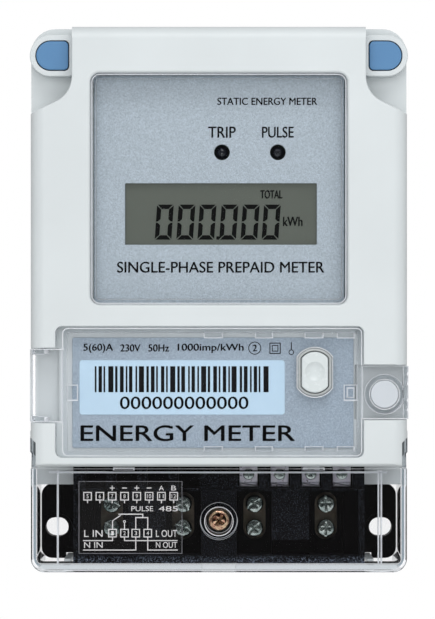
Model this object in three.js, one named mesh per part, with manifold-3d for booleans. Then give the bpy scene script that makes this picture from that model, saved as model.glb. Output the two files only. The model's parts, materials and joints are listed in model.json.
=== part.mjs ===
// Prepaid single-phase electricity meter for wall mounting.
// Millimetres, +Z up, X across the width. The wall is the plane y = 0 and the front faces -Y.
// A depth d is a distance in front of the wall, so d = -y.

import * as THREE from "three";
import { mergeVertices } from "three/addons/utils/BufferGeometryUtils.js";
import Module from "manifold-3d";

const wasm = await Module();
wasm.setup();

// ---- Driving dimensions ------------------------------------------------------------------

const HALF_WIDTH = 56;
const TOP = 80;
const BOTTOM = -80;
const DEPTH = 58;
const CORNER_R = 7.4;
const WALL = 2;

// The case: base and front cover meet at the seam, around a gasket.
const SEAM = 26;
const GASKET_GAP = 0.8;
const BASE_BOTTOM = -55.4;
const COVER_BOTTOM = -49;
const FRONT_EDGE_R = 4;
const DRAFT = 0.6;
const SHOULDER_D = 44;

// Upper window, nameplate, display and lamps.
const WINDOW = { x0: -37.45, x1: 37.45, z0: -1.5, z1: 66.1, r: 2.8 };
const NAMEPLATE_D = 50.2;
const DISPLAY = { x0: -27.5, x1: 28.7, z0: 16.1, z1: 34.1 };
const LAMP_Z = 43.2;
const LAMP_X = { trip_led: 0.9, pulse_led: 17.3 };
const LAMP_HOLE_R = 2.3;

// Flip door over the lower nameplate, hinged at the left and sealed at the right.
const DOOR = { x0: -45.7, x1: 41.8, z0: -45.7, z1: -8.2, r: 1.7 };
// The recess is wider than the door at the hinge side, so that the door can swing out.
const DOOR_RECESS = { x0: -47.6, x1: 42.1, z0: -46, z1: -7.9, r: 1.7 };
const DOOR_FRONT = 57.5;
const DOOR_WALL = 1.4;
const DOOR_FLOOR = 52;
const HINGE = { x: -51.7, d: 54, r: 3.5, z0: -35.7, z1: -14.4 };
const SEAL_TAB = { x0: 41.5, x1: 55.3, z0: -34.8, z1: -19.3 };
const SEAL = { x: 48.3, z: -27.6, tubeR: 5.7, boreR: 4.3, capR: 4.05 };
const BUTTON = { x: 28, z: -21.2, w: 7.8, h: 12 };
// How much wider and taller than the button its guide, collar and surrounding openings are.
const BUTTON_GUIDE = 0.6;
const BUTTON_COLLAR = 2;
const BUTTON_PLATE_HOLE = 2.8;
const BUTTON_DOOR_HOLE = 3.6;

// Upper corner seals, each over a case screw.
const CORNER_SEAL = { x: 48.9, z: 71.6, w: 9.4, h: 8.4 };
const NOTCH = { x: 42.9, arcTop: 65.1, arcR: 8.1, turn: 1.117 };

// Terminal block and its contacts.
const BLOCK_X = 43;
const BLOCK_BOTTOM = -78;
const BLOCK_TOP = -44;
const LIP_D = 44;
const DECK_D = 40;
const EAR = { x: 54.2, z0: -78.9, z1: -56.2, r: 3.3, d: 5, rim: 2.2 };
const EAR_SLOT = { x: 49.4, z: -69.3, w: 7, h: 5.8 };
const FOOT = { x0: 44.4, x1: 46.4, z0: -79.2, z1: -77.6, d: 27, gap: 0.4 };
const TERMINAL_PITCH = 21.2;
const TERMINAL_X = [-1.5, -0.5, 0.5, 1.5].map((n) => n * TERMINAL_PITCH);
const SCREW_Z = { upper: -60.6, lower: -67.8 };
const WIRE_D = 27.5;
const AUX_PITCH = 9.2;
const AUX_FIRST_X = 8.8;
const AUX_SCREW_Z = -51.6;

// Clear terminal cover and its captive screw.
const COVER_FRONT = 55;
const COVER_WALL = 1.5;
const COVER_TOP = -49.4;
const COVER_BOSS = { z: -64.8, r: 5.4, boreR: 3.9 };

const ARC_STEPS = 5;

// ---- Shape helpers -----------------------------------------------------------------------

function solidOf(geometry) {
  const bare = geometry.clone();
  bare.deleteAttribute("normal");
  bare.deleteAttribute("uv");
  const merged = mergeVertices(bare, 1e-4);
  return new wasm.Manifold(
    new wasm.Mesh({
      numProp: 3,
      vertProperties: merged.attributes.position.array,
      triVerts: new Uint32Array(merged.index.array),
    }),
  );
}

function geometryOf(solid) {
  const mesh = solid.getMesh();
  const geometry = new THREE.BufferGeometry();
  geometry.setAttribute("position", new THREE.BufferAttribute(mesh.vertProperties, 3));
  geometry.setIndex(new THREE.BufferAttribute(mesh.triVerts, 1));
  geometry.computeVertexNormals();
  return geometry;
}

const join = (first, ...rest) => rest.reduce((a, b) => a.add(b), first);
const cut = (first, ...rest) => rest.reduce((a, b) => a.subtract(b), first);

// Turns an extrusion drawn in X and Z, and made along +Z, to run forwards from the wall.
function forwards(geometry) {
  const p = geometry.attributes.position;
  for (let i = 0; i < p.count; i++) p.setXYZ(i, p.getX(i), -p.getZ(i), p.getY(i));
  return geometry;
}

function slab(shape, d0, d1) {
  const options = { depth: d1 - d0, bevelEnabled: false, curveSegments: ARC_STEPS };
  return solidOf(forwards(new THREE.ExtrudeGeometry(shape, options).translate(0, 0, d0)));
}

// An upright prism whose outline is drawn in X and depth.
function upright(points, z0, z1) {
  const shape = new THREE.Shape(points.map(([x, d]) => new THREE.Vector2(x, -d)));
  const options = { depth: z1 - z0, bevelEnabled: false };
  return solidOf(new THREE.ExtrudeGeometry(shape, options).translate(0, 0, z0));
}

function box(x0, x1, z0, z1, d0, d1) {
  const geometry = new THREE.BoxGeometry(x1 - x0, d1 - d0, z1 - z0);
  return solidOf(geometry.translate((x0 + x1) / 2, -(d0 + d1) / 2, (z0 + z1) / 2));
}

function disc(x, z, r, d0, d1, segments = 24) {
  const geometry = new THREE.CylinderGeometry(r, r, d1 - d0, segments);
  return solidOf(geometry.translate(x, -(d0 + d1) / 2, z));
}

function rod(x, d, r, z0, z1, segments = 24) {
  const geometry = new THREE.CylinderGeometry(r, r, z1 - z0, segments);
  return solidOf(geometry.rotateX(Math.PI / 2).translate(x, -d, (z0 + z1) / 2));
}

// Points of a rounded rectangle, counter-clockwise, moved inwards by inset.
function roundedPoints({ x0, x1, z0, z1, r, rLow = r }, inset = 0) {
  const points = [];
  const corners = [
    [x1, z1, r, 0],
    [x0, z1, r, 1],
    [x0, z0, rLow, 2],
    [x1, z0, rLow, 3],
  ];
  for (const [x, z, radius, quarter] of corners) {
    const rr = Math.max(radius - inset, 0.2);
    const cx = x - Math.sign(x - (x0 + x1) / 2) * (inset + rr);
    const cz = z - Math.sign(z - (z0 + z1) / 2) * (inset + rr);
    for (let i = 0; i <= ARC_STEPS; i++) {
      const a = ((quarter + i / ARC_STEPS) * Math.PI) / 2;
      points.push([cx + rr * Math.cos(a), cz + rr * Math.sin(a)]);
    }
  }
  return points;
}

const grown = ({ x0, x1, z0, z1 }, by, r) => ({
  x0: x0 - by,
  x1: x1 + by,
  z0: z0 - by,
  z1: z1 + by,
  r,
});
const shapeOf = (points) => new THREE.Shape(points.map(([x, z]) => new THREE.Vector2(x, z)));
const plate = (rect, d0, d1, inset = 0) => slab(shapeOf(roundedPoints(rect, inset)), d0, d1);

// A rounded rectangle whose outline is inset by a different amount at each depth.
function loft(rect, rings) {
  const loops = rings.map(({ d, inset }) => roundedPoints(rect, inset).map(([x, z]) => [x, -d, z]));
  const count = loops[0].length;
  const positions = loops.flat(2);
  const index = [];
  for (let k = 0; k + 1 < loops.length; k++)
    for (let i = 0; i < count; i++) {
      const [a, b] = [k * count + i, k * count + ((i + 1) % count)];
      index.push(a, b, b + count, a, b + count, a + count);
    }
  const last = (loops.length - 1) * count;
  for (let i = 1; i + 1 < count; i++) {
    index.push(0, i + 1, i);
    index.push(last, last + i, last + i + 1);
  }
  const geometry = new THREE.BufferGeometry();
  geometry.setAttribute("position", new THREE.Float32BufferAttribute(positions, 3));
  geometry.setIndex(index);
  return solidOf(geometry);
}

// Rings of a wall that drafts inwards and then turns over a quarter-round edge at the front.
function crownRings(d0, d1, draft, r, steps = 4) {
  const rings = [{ d: d0, inset: 0 }];
  for (let i = 0; i <= steps; i++) {
    const a = ((i / steps) * Math.PI) / 2;
    rings.push({ d: d1 - r + r * Math.sin(a), inset: draft + r * (1 - Math.cos(a)) });
  }
  return rings;
}

function obround(x, z, w, h, d0, d1) {
  const r = Math.min(w, h) / 2;
  const rect = { x0: x - w / 2, x1: x + w / 2, z0: z - h / 2, z1: z + h / 2, r: r - 0.01 };
  return plate(rect, d0, d1);
}

const buttonOutline = (grow, d0, d1) =>
  obround(BUTTON.x, BUTTON.z, BUTTON.w + grow, BUTTON.h + grow, d0, d1);

// The D shape of a corner seal: a half circle outwards and small corners inwards.
function sealShape(side, grow) {
  const { x, z, w, h } = CORNER_SEAL;
  const half = h / 2 + grow;
  const inner = x - w / 2 - grow;
  const centre = x + w / 2 - h / 2;
  const corner = 0.9;
  const points = [
    [inner + corner, z - half],
    [inner, z - half + corner],
    [inner, z + half - corner],
    [inner + corner, z + half],
  ];
  for (let i = 0; i <= 12; i++) {
    const a = Math.PI / 2 - (i / 12) * Math.PI;
    points.push([centre + half * Math.cos(a), z + half * Math.sin(a)]);
  }
  const placed = points.map(([px, pz]) => [side * px, pz]);
  return shapeOf(side > 0 ? placed.reverse() : placed);
}

// The stepped-back corner outside the raised face, moved towards the middle by grow.
function notchShape(side, grow) {
  const { x, arcTop, arcR, turn } = NOTCH;
  const r = arcR + grow;
  const points = [
    [x - grow, TOP + 2],
    [x - grow, arcTop],
  ];
  for (let i = 1; i <= 7; i++) {
    const a = (i / 7) * turn;
    points.push([x + arcR - r * Math.cos(a), arcTop - r * Math.sin(a)]);
  }
  const [ex, ez] = points.at(-1);
  const run = HALF_WIDTH + 2 - ex;
  points.push([ex + run, ez - run / Math.tan(turn)], [HALF_WIDTH + 2, TOP + 2]);
  const placed = points.map(([px, pz]) => [side * px, pz]);
  return shapeOf(side > 0 ? placed : placed.reverse());
}

// A machine screw along the depth axis with a cross and slot recess.
function screw({ headR, headBack, headFront, shankR, tip, slotted = false, segments = 20 }) {
  const slotW = headR * 0.28;
  const slotDepth = (headFront - headBack) * 0.5;
  const arm = headR * 0.62;
  const slot = slotted ? headR + 1 : arm;
  return cut(
    join(
      disc(0, 0, headR, headBack, headFront, segments),
      disc(0, 0, shankR, tip, headBack + 0.2, segments),
    ),
    box(-slot, slot, -slotW / 2, slotW / 2, headFront - slotDepth, headFront + 1),
    box(-slotW / 2, slotW / 2, -arm, arm, headFront - slotDepth, headFront + 1),
  );
}

// ---- Materials ---------------------------------------------------------------------------

const material = (color, roughness, metalness = 0, extra = {}) =>
  new THREE.MeshStandardMaterial({ color, roughness, metalness, ...extra });

const CLEAR = { transparent: true, opacity: 0.3 };
const finish = {
  case_grey: material(0xd0d7d9, 0.5),
  clear: material(0xf2f5f7, 0.08, 0, CLEAR),
  seal_blue: material(0x5e8dba, 0.45),
  panel_silver: material(0xa3adb8, 0.45, 0.3),
  panel_slate: material(0x939fae, 0.45, 0.3),
  label_blue: material(0xb9d7ec, 0.6),
  lcd: material(0x5d665d, 0.15),
  white_plastic: material(0xe6eae9, 0.4),
  seal_white: material(0xcfd5da, 0.4),
  block_black: material(0x121314, 0.55),
  led_dark: material(0x11151c, 0.1),
  board_green: material(0x1f5c3a, 0.5),
  chip_black: material(0x1b1b1d, 0.5),
  brass: material(0xb59a5a, 0.35, 0.9),
  nickel: material(0xb9bcbd, 0.3, 1),
  zinc: material(0xaab4b2, 0.3, 1),
  zinc_yellow: material(0xc8a24c, 0.3, 1),
  copper: material(0xb87245, 0.35, 1),
  rubber_grey: material(0x6f7476, 0.85),
  component_blue: material(0x2c5f9e, 0.5),
  film: material(0xdfe4e6, 0.3, 0, CLEAR),
};

const meter = new THREE.Group();

function add(name, geometryOrSolid, finishName, at = [0, 0, 0], parent = meter) {
  const geometry = geometryOrSolid.isBufferGeometry ? geometryOrSolid : geometryOf(geometryOrSolid);
  const mesh = new THREE.Mesh(geometry, finish[finishName]);
  mesh.name = name;
  mesh.position.set(...at);
  parent.add(mesh);
  return mesh;
}

// ---- Case --------------------------------------------------------------------------------

const HANGER = { x: 12, lip: 10, z0: 50.5, z1: 78.5, floor: 3.5, holeZ: 71, holeR: 3.2 };
const CASE_RECT = { x0: -HALF_WIDTH, x1: HALF_WIDTH, z0: BASE_BOTTOM, z1: TOP, r: CORNER_R, rLow: 2 };
const BOARD_D = 36;
const STANDOFFS = [
  [-42, 57],
  [42, 57],
  [-42, -34],
  [42, -34],
];

function baseShell() {
  const rim = SEAM - GASKET_GAP / 2;
  const ledgeTop = -47;
  const back = WALL + 0.2;
  const [x0, x1] = [-HALF_WIDTH + WALL, HALF_WIDTH - WALL];
  const inner = { ...CASE_RECT, x0, x1, z1: TOP - WALL, r: CORNER_R - WALL };
  const outer = loft(CASE_RECT, [
    { d: 0, inset: 1 },
    { d: 1, inset: 0 },
    { d: rim, inset: 0 },
  ]);
  const shell = cut(
    outer,
    plate({ ...inner, z0: BASE_BOTTOM + WALL }, back, rim - WALL),
    plate({ ...inner, z0: ledgeTop }, rim - WALL - 1, rim + 1),
  );
  const tab = (side) => {
    const [x0, x1] = side > 0 ? [BLOCK_X - 1, FOOT.x1] : [-FOOT.x1, -BLOCK_X + 1];
    const [t0, t1] = side > 0 ? [FOOT.x0, FOOT.x1] : [-FOOT.x1, -FOOT.x0];
    return join(
      box(x0, x1, FOOT.z0, FOOT.z1, 0, back),
      box(t0, t1, FOOT.z0, FOOT.z1, 0, FOOT.d),
    );
  };
  const solid = join(
    shell,
    box(-BLOCK_X, BLOCK_X, FOOT.z0, BASE_BOTTOM + 1, 0, back),
    tab(-1),
    tab(1),
    box(-HANGER.x - 2.3, HANGER.x + 2.3, HANGER.z0 - 2.5, TOP - 1, 0.5, HANGER.floor + WALL),
    disc(-CORNER_SEAL.x, CORNER_SEAL.z, 4.6, 1, rim),
    disc(CORNER_SEAL.x, CORNER_SEAL.z, 4.6, 1, rim),
    ...STANDOFFS.map(([x, z]) => disc(x, z, 2.6, 1, BOARD_D - 0.3, 16)),
  );
  return cut(
    solid,
    box(-BLOCK_X - 0.4, BLOCK_X + 0.4, BASE_BOTTOM - 1, ledgeTop + 2, back, rim + 1),
    box(-HANGER.lip, HANGER.lip, HANGER.z0 - 0.5, TOP + 1, -1, HANGER.floor),
    box(-HANGER.x - 0.3, HANGER.x + 0.3, HANGER.z0 - 0.5, TOP + 1, 1.2, HANGER.floor),
    disc(-CORNER_SEAL.x, CORNER_SEAL.z, 1.8, 8, rim + 1, 16),
    disc(CORNER_SEAL.x, CORNER_SEAL.z, 1.8, 8, rim + 1, 16),
  );
}

function hangerClip() {
  const { x, lip, z0, z1, holeZ, holeR } = HANGER;
  return cut(
    join(
      plate({ x0: -x, x1: x, z0, z1, r: 2 }, 1.5, 3.1),
      plate({ x0: -lip + 0.4, x1: lip - 0.4, z0, z1, r: 1.5 }, 0.3, 1.6),
    ),
    disc(0, holeZ, holeR, -1, 5),
    box(-1.9, 1.9, holeZ, holeZ + 5.2, -1, 5),
    box(-6, 6, 54, 58, -1, 1.2),
  );
}

function caseGasket() {
  const inset = 0.5;
  const width = 1.1;
  const rim = { ...CASE_RECT, z0: -47.6 };
  const [d0, d1] = [SEAM - GASKET_GAP / 2 + 0.05, SEAM + GASKET_GAP / 2 - 0.05];
  const ring = cut(plate(rim, d0, d1, inset), plate(rim, d0 - 1, d1 + 1, inset + width));
  return cut(ring, box(-BLOCK_X - 0.4, BLOCK_X + 0.4, -49, -45, d0 - 1, d1 + 1));
}

const CLIP_RECESS = { x: 53.4, z1: -39.4, slope: 2.4 };

function clipRecess(side) {
  const { x, z1, slope } = CLIP_RECESS;
  const points = [
    [x, COVER_BOTTOM - 1],
    [HALF_WIDTH + 2, COVER_BOTTOM - 1],
    [HALF_WIDTH + 2, z1 + 1],
    [HALF_WIDTH, z1],
    [x, z1 - slope],
  ].map(([px, pz]) => [side * px, pz]);
  return slab(shapeOf(side > 0 ? points : points.reverse()), SEAM - 1, DEPTH + 1);
}

function frontCover() {
  const d0 = SEAM + GASKET_GAP / 2;
  const rect = { ...CASE_RECT, z0: COVER_BOTTOM - 12 };
  const below = box(-60, 60, COVER_BOTTOM - 20, COVER_BOTTOM, 0, DEPTH + 1);
  const outer = cut(
    loft(rect, crownRings(d0, DEPTH, DRAFT, FRONT_EDGE_R)),
    below,
    slab(notchShape(-1, 0), SHOULDER_D, DEPTH + 1),
    slab(notchShape(1, 0), SHOULDER_D, DEPTH + 1),
  );
  const hollowRect = {
    x0: -HALF_WIDTH + WALL,
    x1: HALF_WIDTH - WALL,
    z0: COVER_BOTTOM + WALL,
    z1: TOP - WALL,
    r: CORNER_R - WALL,
    rLow: 1,
  };
  const hollow = cut(
    loft(hollowRect, crownRings(d0 - 1, DEPTH - WALL, DRAFT, FRONT_EDGE_R - WALL, 2)),
    slab(notchShape(-1, WALL), SHOULDER_D - WALL, DEPTH),
    slab(notchShape(1, WALL), SHOULDER_D - WALL, DEPTH),
  );
  const [wellX0, wellX1] = [DOOR_RECESS.x0 - WALL, DOOR_RECESS.x1 + WALL];
  const backing = join(
    box(wellX0, wellX1, -47.1, DOOR_RECESS.z1 + WALL, DOOR_FLOOR - WALL, DEPTH - 1),
    box(-57, -45.6, HINGE.z0 - 2.3, HINGE.z1 + 2.3, 47.3, DEPTH - 1),
    box(40, 57, SEAL_TAB.z0 - 2.3, SEAL_TAB.z1 + 2.3, 48, DEPTH - 1),
    box(CLIP_RECESS.x - WALL, 57, COVER_BOTTOM, CLIP_RECESS.z1 + 1, d0, DEPTH - 1),
    box(-57, -CLIP_RECESS.x + WALL, COVER_BOTTOM, CLIP_RECESS.z1 + 1, d0, DEPTH - 1),
  ).intersect(outer);
  const doorBoss = disc(SEAL.x, SEAL.z, 4.2, 42, DOOR_FLOOR - WALL - 1);
  const corner = (side) =>
    join(
      disc(side * CORNER_SEAL.x, CORNER_SEAL.z, 5.6, d0, SHOULDER_D - 1),
      slab(sealShape(side, 1.9), SHOULDER_D - 2, 50),
    );
  const body = join(cut(outer, hollow), backing, doorBoss, corner(-1), corner(1));
  const pocket = (side) =>
    join(
      slab(sealShape(side, 0.25), 40.2, DEPTH + 1),
      disc(side * CORNER_SEAL.x, CORNER_SEAL.z, 2, d0 - 1, 41, 16),
    );
  const collar = cut(
    buttonOutline(BUTTON_COLLAR, DOOR_FLOOR - 1, 56.6),
    buttonOutline(BUTTON_GUIDE, DOOR_FLOOR - 2, DEPTH),
  );
  const opened = cut(
    body,
    plate(WINDOW, DEPTH - 5, DEPTH + 1),
    plate(DOOR_RECESS, DOOR_FLOOR, DEPTH + 1),
    box(-58, DOOR.x0, HINGE.z0 - 0.3, HINGE.z1 + 0.3, 49.3, DEPTH + 1),
    box(DOOR.x1, 58, SEAL_TAB.z0 - 0.3, SEAL_TAB.z1 + 0.3, 50, DEPTH + 1),
    rod(HINGE.x, HINGE.d, 1.4, HINGE.z0 - 2, HINGE.z1 + 2),
    disc(SEAL.x, SEAL.z, 2.3, 44, 51, 20),
    buttonOutline(BUTTON_GUIDE, DOOR_FLOOR - 3, DOOR_FLOOR + 1),
    pocket(-1),
    pocket(1),
    clipRecess(-1),
    clipRecess(1),
    box(-BLOCK_X - 0.4, BLOCK_X + 0.4, COVER_BOTTOM - 1, COVER_BOTTOM + 3, d0 - 1, LIP_D + 0.8),
  );
  return join(opened, collar);
}

add("base_shell", baseShell(), "case_grey");
add("hanger_clip", hangerClip(), "nickel");
add("case_gasket", caseGasket(), "rubber_grey");
add("front_cover", frontCover(), "case_grey");

for (const [name, side] of [
  ["left", -1],
  ["right", 1],
]) {
  const at = [side * CORNER_SEAL.x, 0, CORNER_SEAL.z];
  const caseScrew = screw({ headR: 3, headBack: 40.5, headFront: 42.7, shankR: 1.5, tip: 12 });
  add(`case_screw_${name}`, caseScrew, "zinc", at);
  add(`seal_cap_${name}`, slab(sealShape(side, 0), 43.2, 50.3), "seal_blue");
}

// ---- Window, nameplate, display and lamps --------------------------------------------------

function windowPane() {
  const pane = grown(WINDOW, -0.3, 2.5);
  const front = loft(pane, [
    { d: 52.4, inset: 0 },
    { d: 56.9, inset: 0 },
    { d: 57.3, inset: 0.4 },
  ]);
  const flange = plate(grown(WINDOW, 1.8, 3), 54.4, 55.6);
  return cut(join(front, flange), plate(pane, 52, 55.3, 1.3));
}

function upperNameplate() {
  const rect = { x0: -36.6, x1: 36.8, z0: -1, z1: 65.6, r: 1 };
  return cut(
    plate(rect, NAMEPLATE_D - 1, NAMEPLATE_D),
    box(DISPLAY.x0, DISPLAY.x1, DISPLAY.z0, DISPLAY.z1, 48, 52),
    ...Object.values(LAMP_X).map((x) => disc(x, LAMP_Z, LAMP_HOLE_R, 48, 52)),
  );
}

// A lamp: base flange, straight body and domed top, turned about its own axis.
function lamp() {
  const r = 1.95;
  const points = [
    [0, 37.9],
    [2.4, 37.9],
    [2.4, 38.9],
    [r, 38.9],
  ];
  for (let i = 0; i <= 4; i++) {
    const a = ((i / 4) * Math.PI) / 2;
    points.push([i === 4 ? 0 : r * Math.cos(a), 47 + r * Math.sin(a)]);
  }
  const profile = points.map(([x, y]) => new THREE.Vector2(x, y));
  return solidOf(new THREE.LatheGeometry(profile, 16).rotateX(Math.PI));
}

add("window_pane", windowPane(), "clear");
add("upper_nameplate", upperNameplate(), "panel_silver");
add("lcd_glass", plate(grown(DISPLAY, 2, 0.6), 46.4, 48.9), "lcd");
add("lcd_backlight", plate(grown(DISPLAY, 3, 0.6), 38, 46.2), "white_plastic");
for (const [name, x] of Object.entries(LAMP_X)) add(name, lamp(), "led_dark", [x, 0, LAMP_Z]);

// ---- Lower nameplate, button and flip door -------------------------------------------------

function lowerNameplate() {
  const rect = { x0: -42.9, x1: 39.4, z0: -43.4, z1: -11.1, r: 0.6 };
  return cut(
    plate(rect, DOOR_FLOOR + 0.1, DOOR_FLOOR + 0.7),
    buttonOutline(BUTTON_PLATE_HOLE, 50, 54),
  );
}

function pageButton() {
  const { x, z } = BUTTON;
  const dish = new THREE.SphereGeometry(7, 24, 16).translate(x, -63, z + 0.2);
  return cut(
    join(
      buttonOutline(0, 47.4, 57.2),
      buttonOutline(2.4, 46.4, 48),
      disc(x, z, 2, 42, 46.8, 16),
    ),
    solidOf(dish),
  );
}

function flipDoor() {
  const { x, d, r, z0, z1 } = HINGE;
  const edge = [
    { d: 52.7, inset: 0 },
    { d: DOOR_FRONT - 0.5, inset: 0 },
    { d: DOOR_FRONT, inset: 0.5 },
  ];
  const tray = cut(loft(DOOR, edge), plate(DOOR, 52, DOOR_FRONT - DOOR_WALL, DOOR_WALL));
  const wrap = [];
  for (let i = 0; i <= 8; i++) {
    const a = (i / 8) * (Math.PI / 2 + 0.35);
    wrap.push([x - r * Math.sin(a), d + r * Math.cos(a)]);
  }
  for (let i = 8; i >= 0; i--) {
    const a = (i / 8) * (Math.PI / 2 + 0.35);
    wrap.push([x - (r - DOOR_WALL) * Math.sin(a), d + (r - DOOR_WALL) * Math.cos(a)]);
  }
  const knuckle = (k0, k1) => rod(x, d, r - DOOR_WALL + 0.1, k0, k1, 20);
  const tube = cut(
    disc(SEAL.x, SEAL.z, SEAL.tubeR, 50.5, DOOR_FRONT, 32),
    disc(SEAL.x, SEAL.z, 1.9, 50, 52, 20),
  );
  const tab = { ...SEAL_TAB, r: 0.6 };
  const { x1: tabEnd, z0: tabLow, z1: tabHigh } = SEAL_TAB;
  const side = box(tabEnd - DOOR_WALL, tabEnd, tabLow, tabHigh, 50.3, DOOR_FRONT - 0.3);
  return cut(
    join(
      tray,
      upright(wrap, z0, z1),
      box(x, DOOR.x0 + 1, z0, z1, DOOR_FRONT - DOOR_WALL, DOOR_FRONT),
      knuckle(z0, z0 + 1.5),
      knuckle(z1 - 1.5, z1),
      rod(x, d, 1.1, z0 - 1.6, z0 + 1),
      rod(x, d, 1.1, z1 - 1, z1 + 1.6),
      plate(tab, DOOR_FRONT - DOOR_WALL, DOOR_FRONT),
      side,
      tube,
    ),
    disc(SEAL.x, SEAL.z, SEAL.boreR, 51.7, DEPTH + 1, 32),
    buttonOutline(BUTTON_DOOR_HOLE, 55, DEPTH + 1),
  );
}

const LABEL = { x0: -40.8, x1: 19.3, z0: -33.7, z1: -17.7, r: 0.9 };
const doorScrew = screw({ headR: 3, headBack: 51.9, headFront: 53.9, shankR: 1.5, tip: 46.8 });

add("lower_nameplate", lowerNameplate(), "panel_slate");
add("barcode_label", plate(LABEL, DOOR_FLOOR + 0.75, DOOR_FLOOR + 0.9), "label_blue");
add("page_button", pageButton(), "white_plastic");
add("flip_door", flipDoor(), "clear");
add("door_screw", doorScrew, "zinc", [SEAL.x, 0, SEAL.z]);
add("door_seal_cap", disc(SEAL.x, SEAL.z, SEAL.capR, 54.3, 57.2, 32), "seal_white");

// ---- Terminal block ------------------------------------------------------------------------

const WELL = { w: 10, z0: -75.3, corner: -57.4, crown: -56.1, d: 36 };
const CHANNEL = { w: 9.6, d0: 22, d1: 33, z0: -72 };
const POST = { x: 5.2, z1: -56, back: 24, insertBack: 30, d: 44.5 };
const PAD = { x0: 15.7, x1: 26.7, z0: -71, z1: -56.5, d: 42 };
const AUX_BAYS = [-4, -3, -2, -1, 1, 2, 3, 4].map(
  (n) => Math.sign(n) * (AUX_FIRST_X + (Math.abs(n) - 1) * AUX_PITCH),
);

// A main terminal's well, arched at the top, with the slot over the two screws and the wire way.
function terminalWell(x) {
  const { w, z0, corner, crown, d } = WELL;
  const rise = crown - corner;
  const r = (w * w) / (8 * rise) + rise / 2;
  const half = Math.asin(w / 2 / r);
  const points = [
    [x - w / 2, z0],
    [x + w / 2, z0],
  ];
  for (let i = 0; i <= 6; i++) {
    const a = half - (i / 6) * 2 * half;
    points.push([x + r * Math.sin(a), crown - r + r * Math.cos(a)]);
  }
  return join(
    slab(shapeOf(points), d, 50),
    obround(x, (SCREW_Z.upper + SCREW_Z.lower) / 2, 6.6, 14.2, CHANNEL.d1 - 1, 40),
    box(x - CHANNEL.w / 2, x + CHANNEL.w / 2, CHANNEL.z0, BLOCK_TOP + 1, CHANNEL.d0, CHANNEL.d1),
    rod(x, WIRE_D, 3.8, BLOCK_BOTTOM - 1, CHANNEL.z0 + 1, 24),
  );
}

function terminalBlock() {
  const half = BLOCK_X;
  const ear = (side) => {
    const [x0, x1] = side > 0 ? [half - 1, EAR.x] : [-EAR.x, -half + 1];
    const { x, z, w, h } = EAR_SLOT;
    const lug = plate({ x0, x1, z0: EAR.z0, z1: EAR.z1, r: EAR.r }, 0, EAR.d);
    const rim = obround(side * x, z, w + EAR.rim, h + EAR.rim, 1, EAR.d + 1.2);
    return cut(join(lug, rim), obround(side * x, z, w, h, -1, 9));
  };
  const main = join(
    box(-half, half, BLOCK_BOTTOM, -56, 2.5, DECK_D),
    box(-half, half, -56.5, BLOCK_TOP, 2.5, LIP_D - 1),
    box(-half, half, BLOCK_BOTTOM, WELL.z0, 2.5, LIP_D),
    box(-half, -half + 1.8, BLOCK_BOTTOM, -56, 2.5, LIP_D),
    box(half - 1.8, half, BLOCK_BOTTOM, -56, 2.5, LIP_D),
    box(PAD.x0, PAD.x1, PAD.z0, PAD.z1, 30, PAD.d),
    box(-PAD.x1, -PAD.x0, PAD.z0, PAD.z1, 30, PAD.d),
  );
  // The ears lie on the wall, so the block's own back steps down to meet them.
  const feet = join(
    box(-half - 0.9, -half + 3, BLOCK_BOTTOM, EAR.z1, 2.5, EAR.d),
    box(half - 3, half + 0.9, BLOCK_BOTTOM, EAR.z1, 2.5, EAR.d),
  );
  const earBacks = join(
    box(-half - 0.3, half + 0.3, BLOCK_BOTTOM - 1, EAR.z1 + 2, -1, 2.5),
    box(half, FOOT.x1 + FOOT.gap, EAR.z0 - 1, FOOT.z1 + FOOT.gap, -1, FOOT.d + FOOT.gap),
    box(-FOOT.x1 - FOOT.gap, -half, EAR.z0 - 1, FOOT.z1 + FOOT.gap, -1, FOOT.d + FOOT.gap),
  );
  return cut(
    join(main, feet, ear(-1), ear(1)),
    earBacks,
    ...TERMINAL_X.map(terminalWell),
    ...AUX_BAYS.map((x) => box(x - 3.1, x + 3.1, -55.6, -46, 36, LIP_D + 1)),
    box(-POST.x - 0.05, POST.x + 0.05, BLOCK_BOTTOM - 1, POST.z1 + 0.05, POST.back, LIP_D + 1),
  );
}

// The post between the middle wells takes the terminal cover's screw in a brass insert.
function coverScrewPost() {
  return cut(
    box(-POST.x, POST.x, BLOCK_BOTTOM + 0.4, POST.z1, POST.back + 0.05, POST.d),
    disc(0, COVER_BOSS.z, 3.7, POST.insertBack, POST.d + 1),
  );
}

function terminalClamp() {
  const half = CHANNEL.w / 2 - 0.3;
  const top = -46;
  return cut(
    box(-half, half, CHANNEL.z0 + 0.3, top, CHANNEL.d0 + 0.3, CHANNEL.d1 - 0.3),
    rod(0, WIRE_D, 3.3, CHANNEL.z0 - 1, -50, 20),
    disc(0, SCREW_Z.upper, 2.2, WIRE_D, CHANNEL.d1, 16),
    disc(0, SCREW_Z.lower, 2.2, WIRE_D, CHANNEL.d1, 16),
  );
}

function auxClamp() {
  return cut(
    join(box(-2.65, 2.65, -55.3, -47, 39, 40), box(-2.65, 2.65, -50.5, -46.3, 36.3, 39.2)),
    disc(0, AUX_SCREW_Z, 1.2, 30, 45, 16),
  );
}

add("terminal_block", terminalBlock(), "block_black");
add("cover_screw_post", coverScrewPost(), "block_black");

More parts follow.
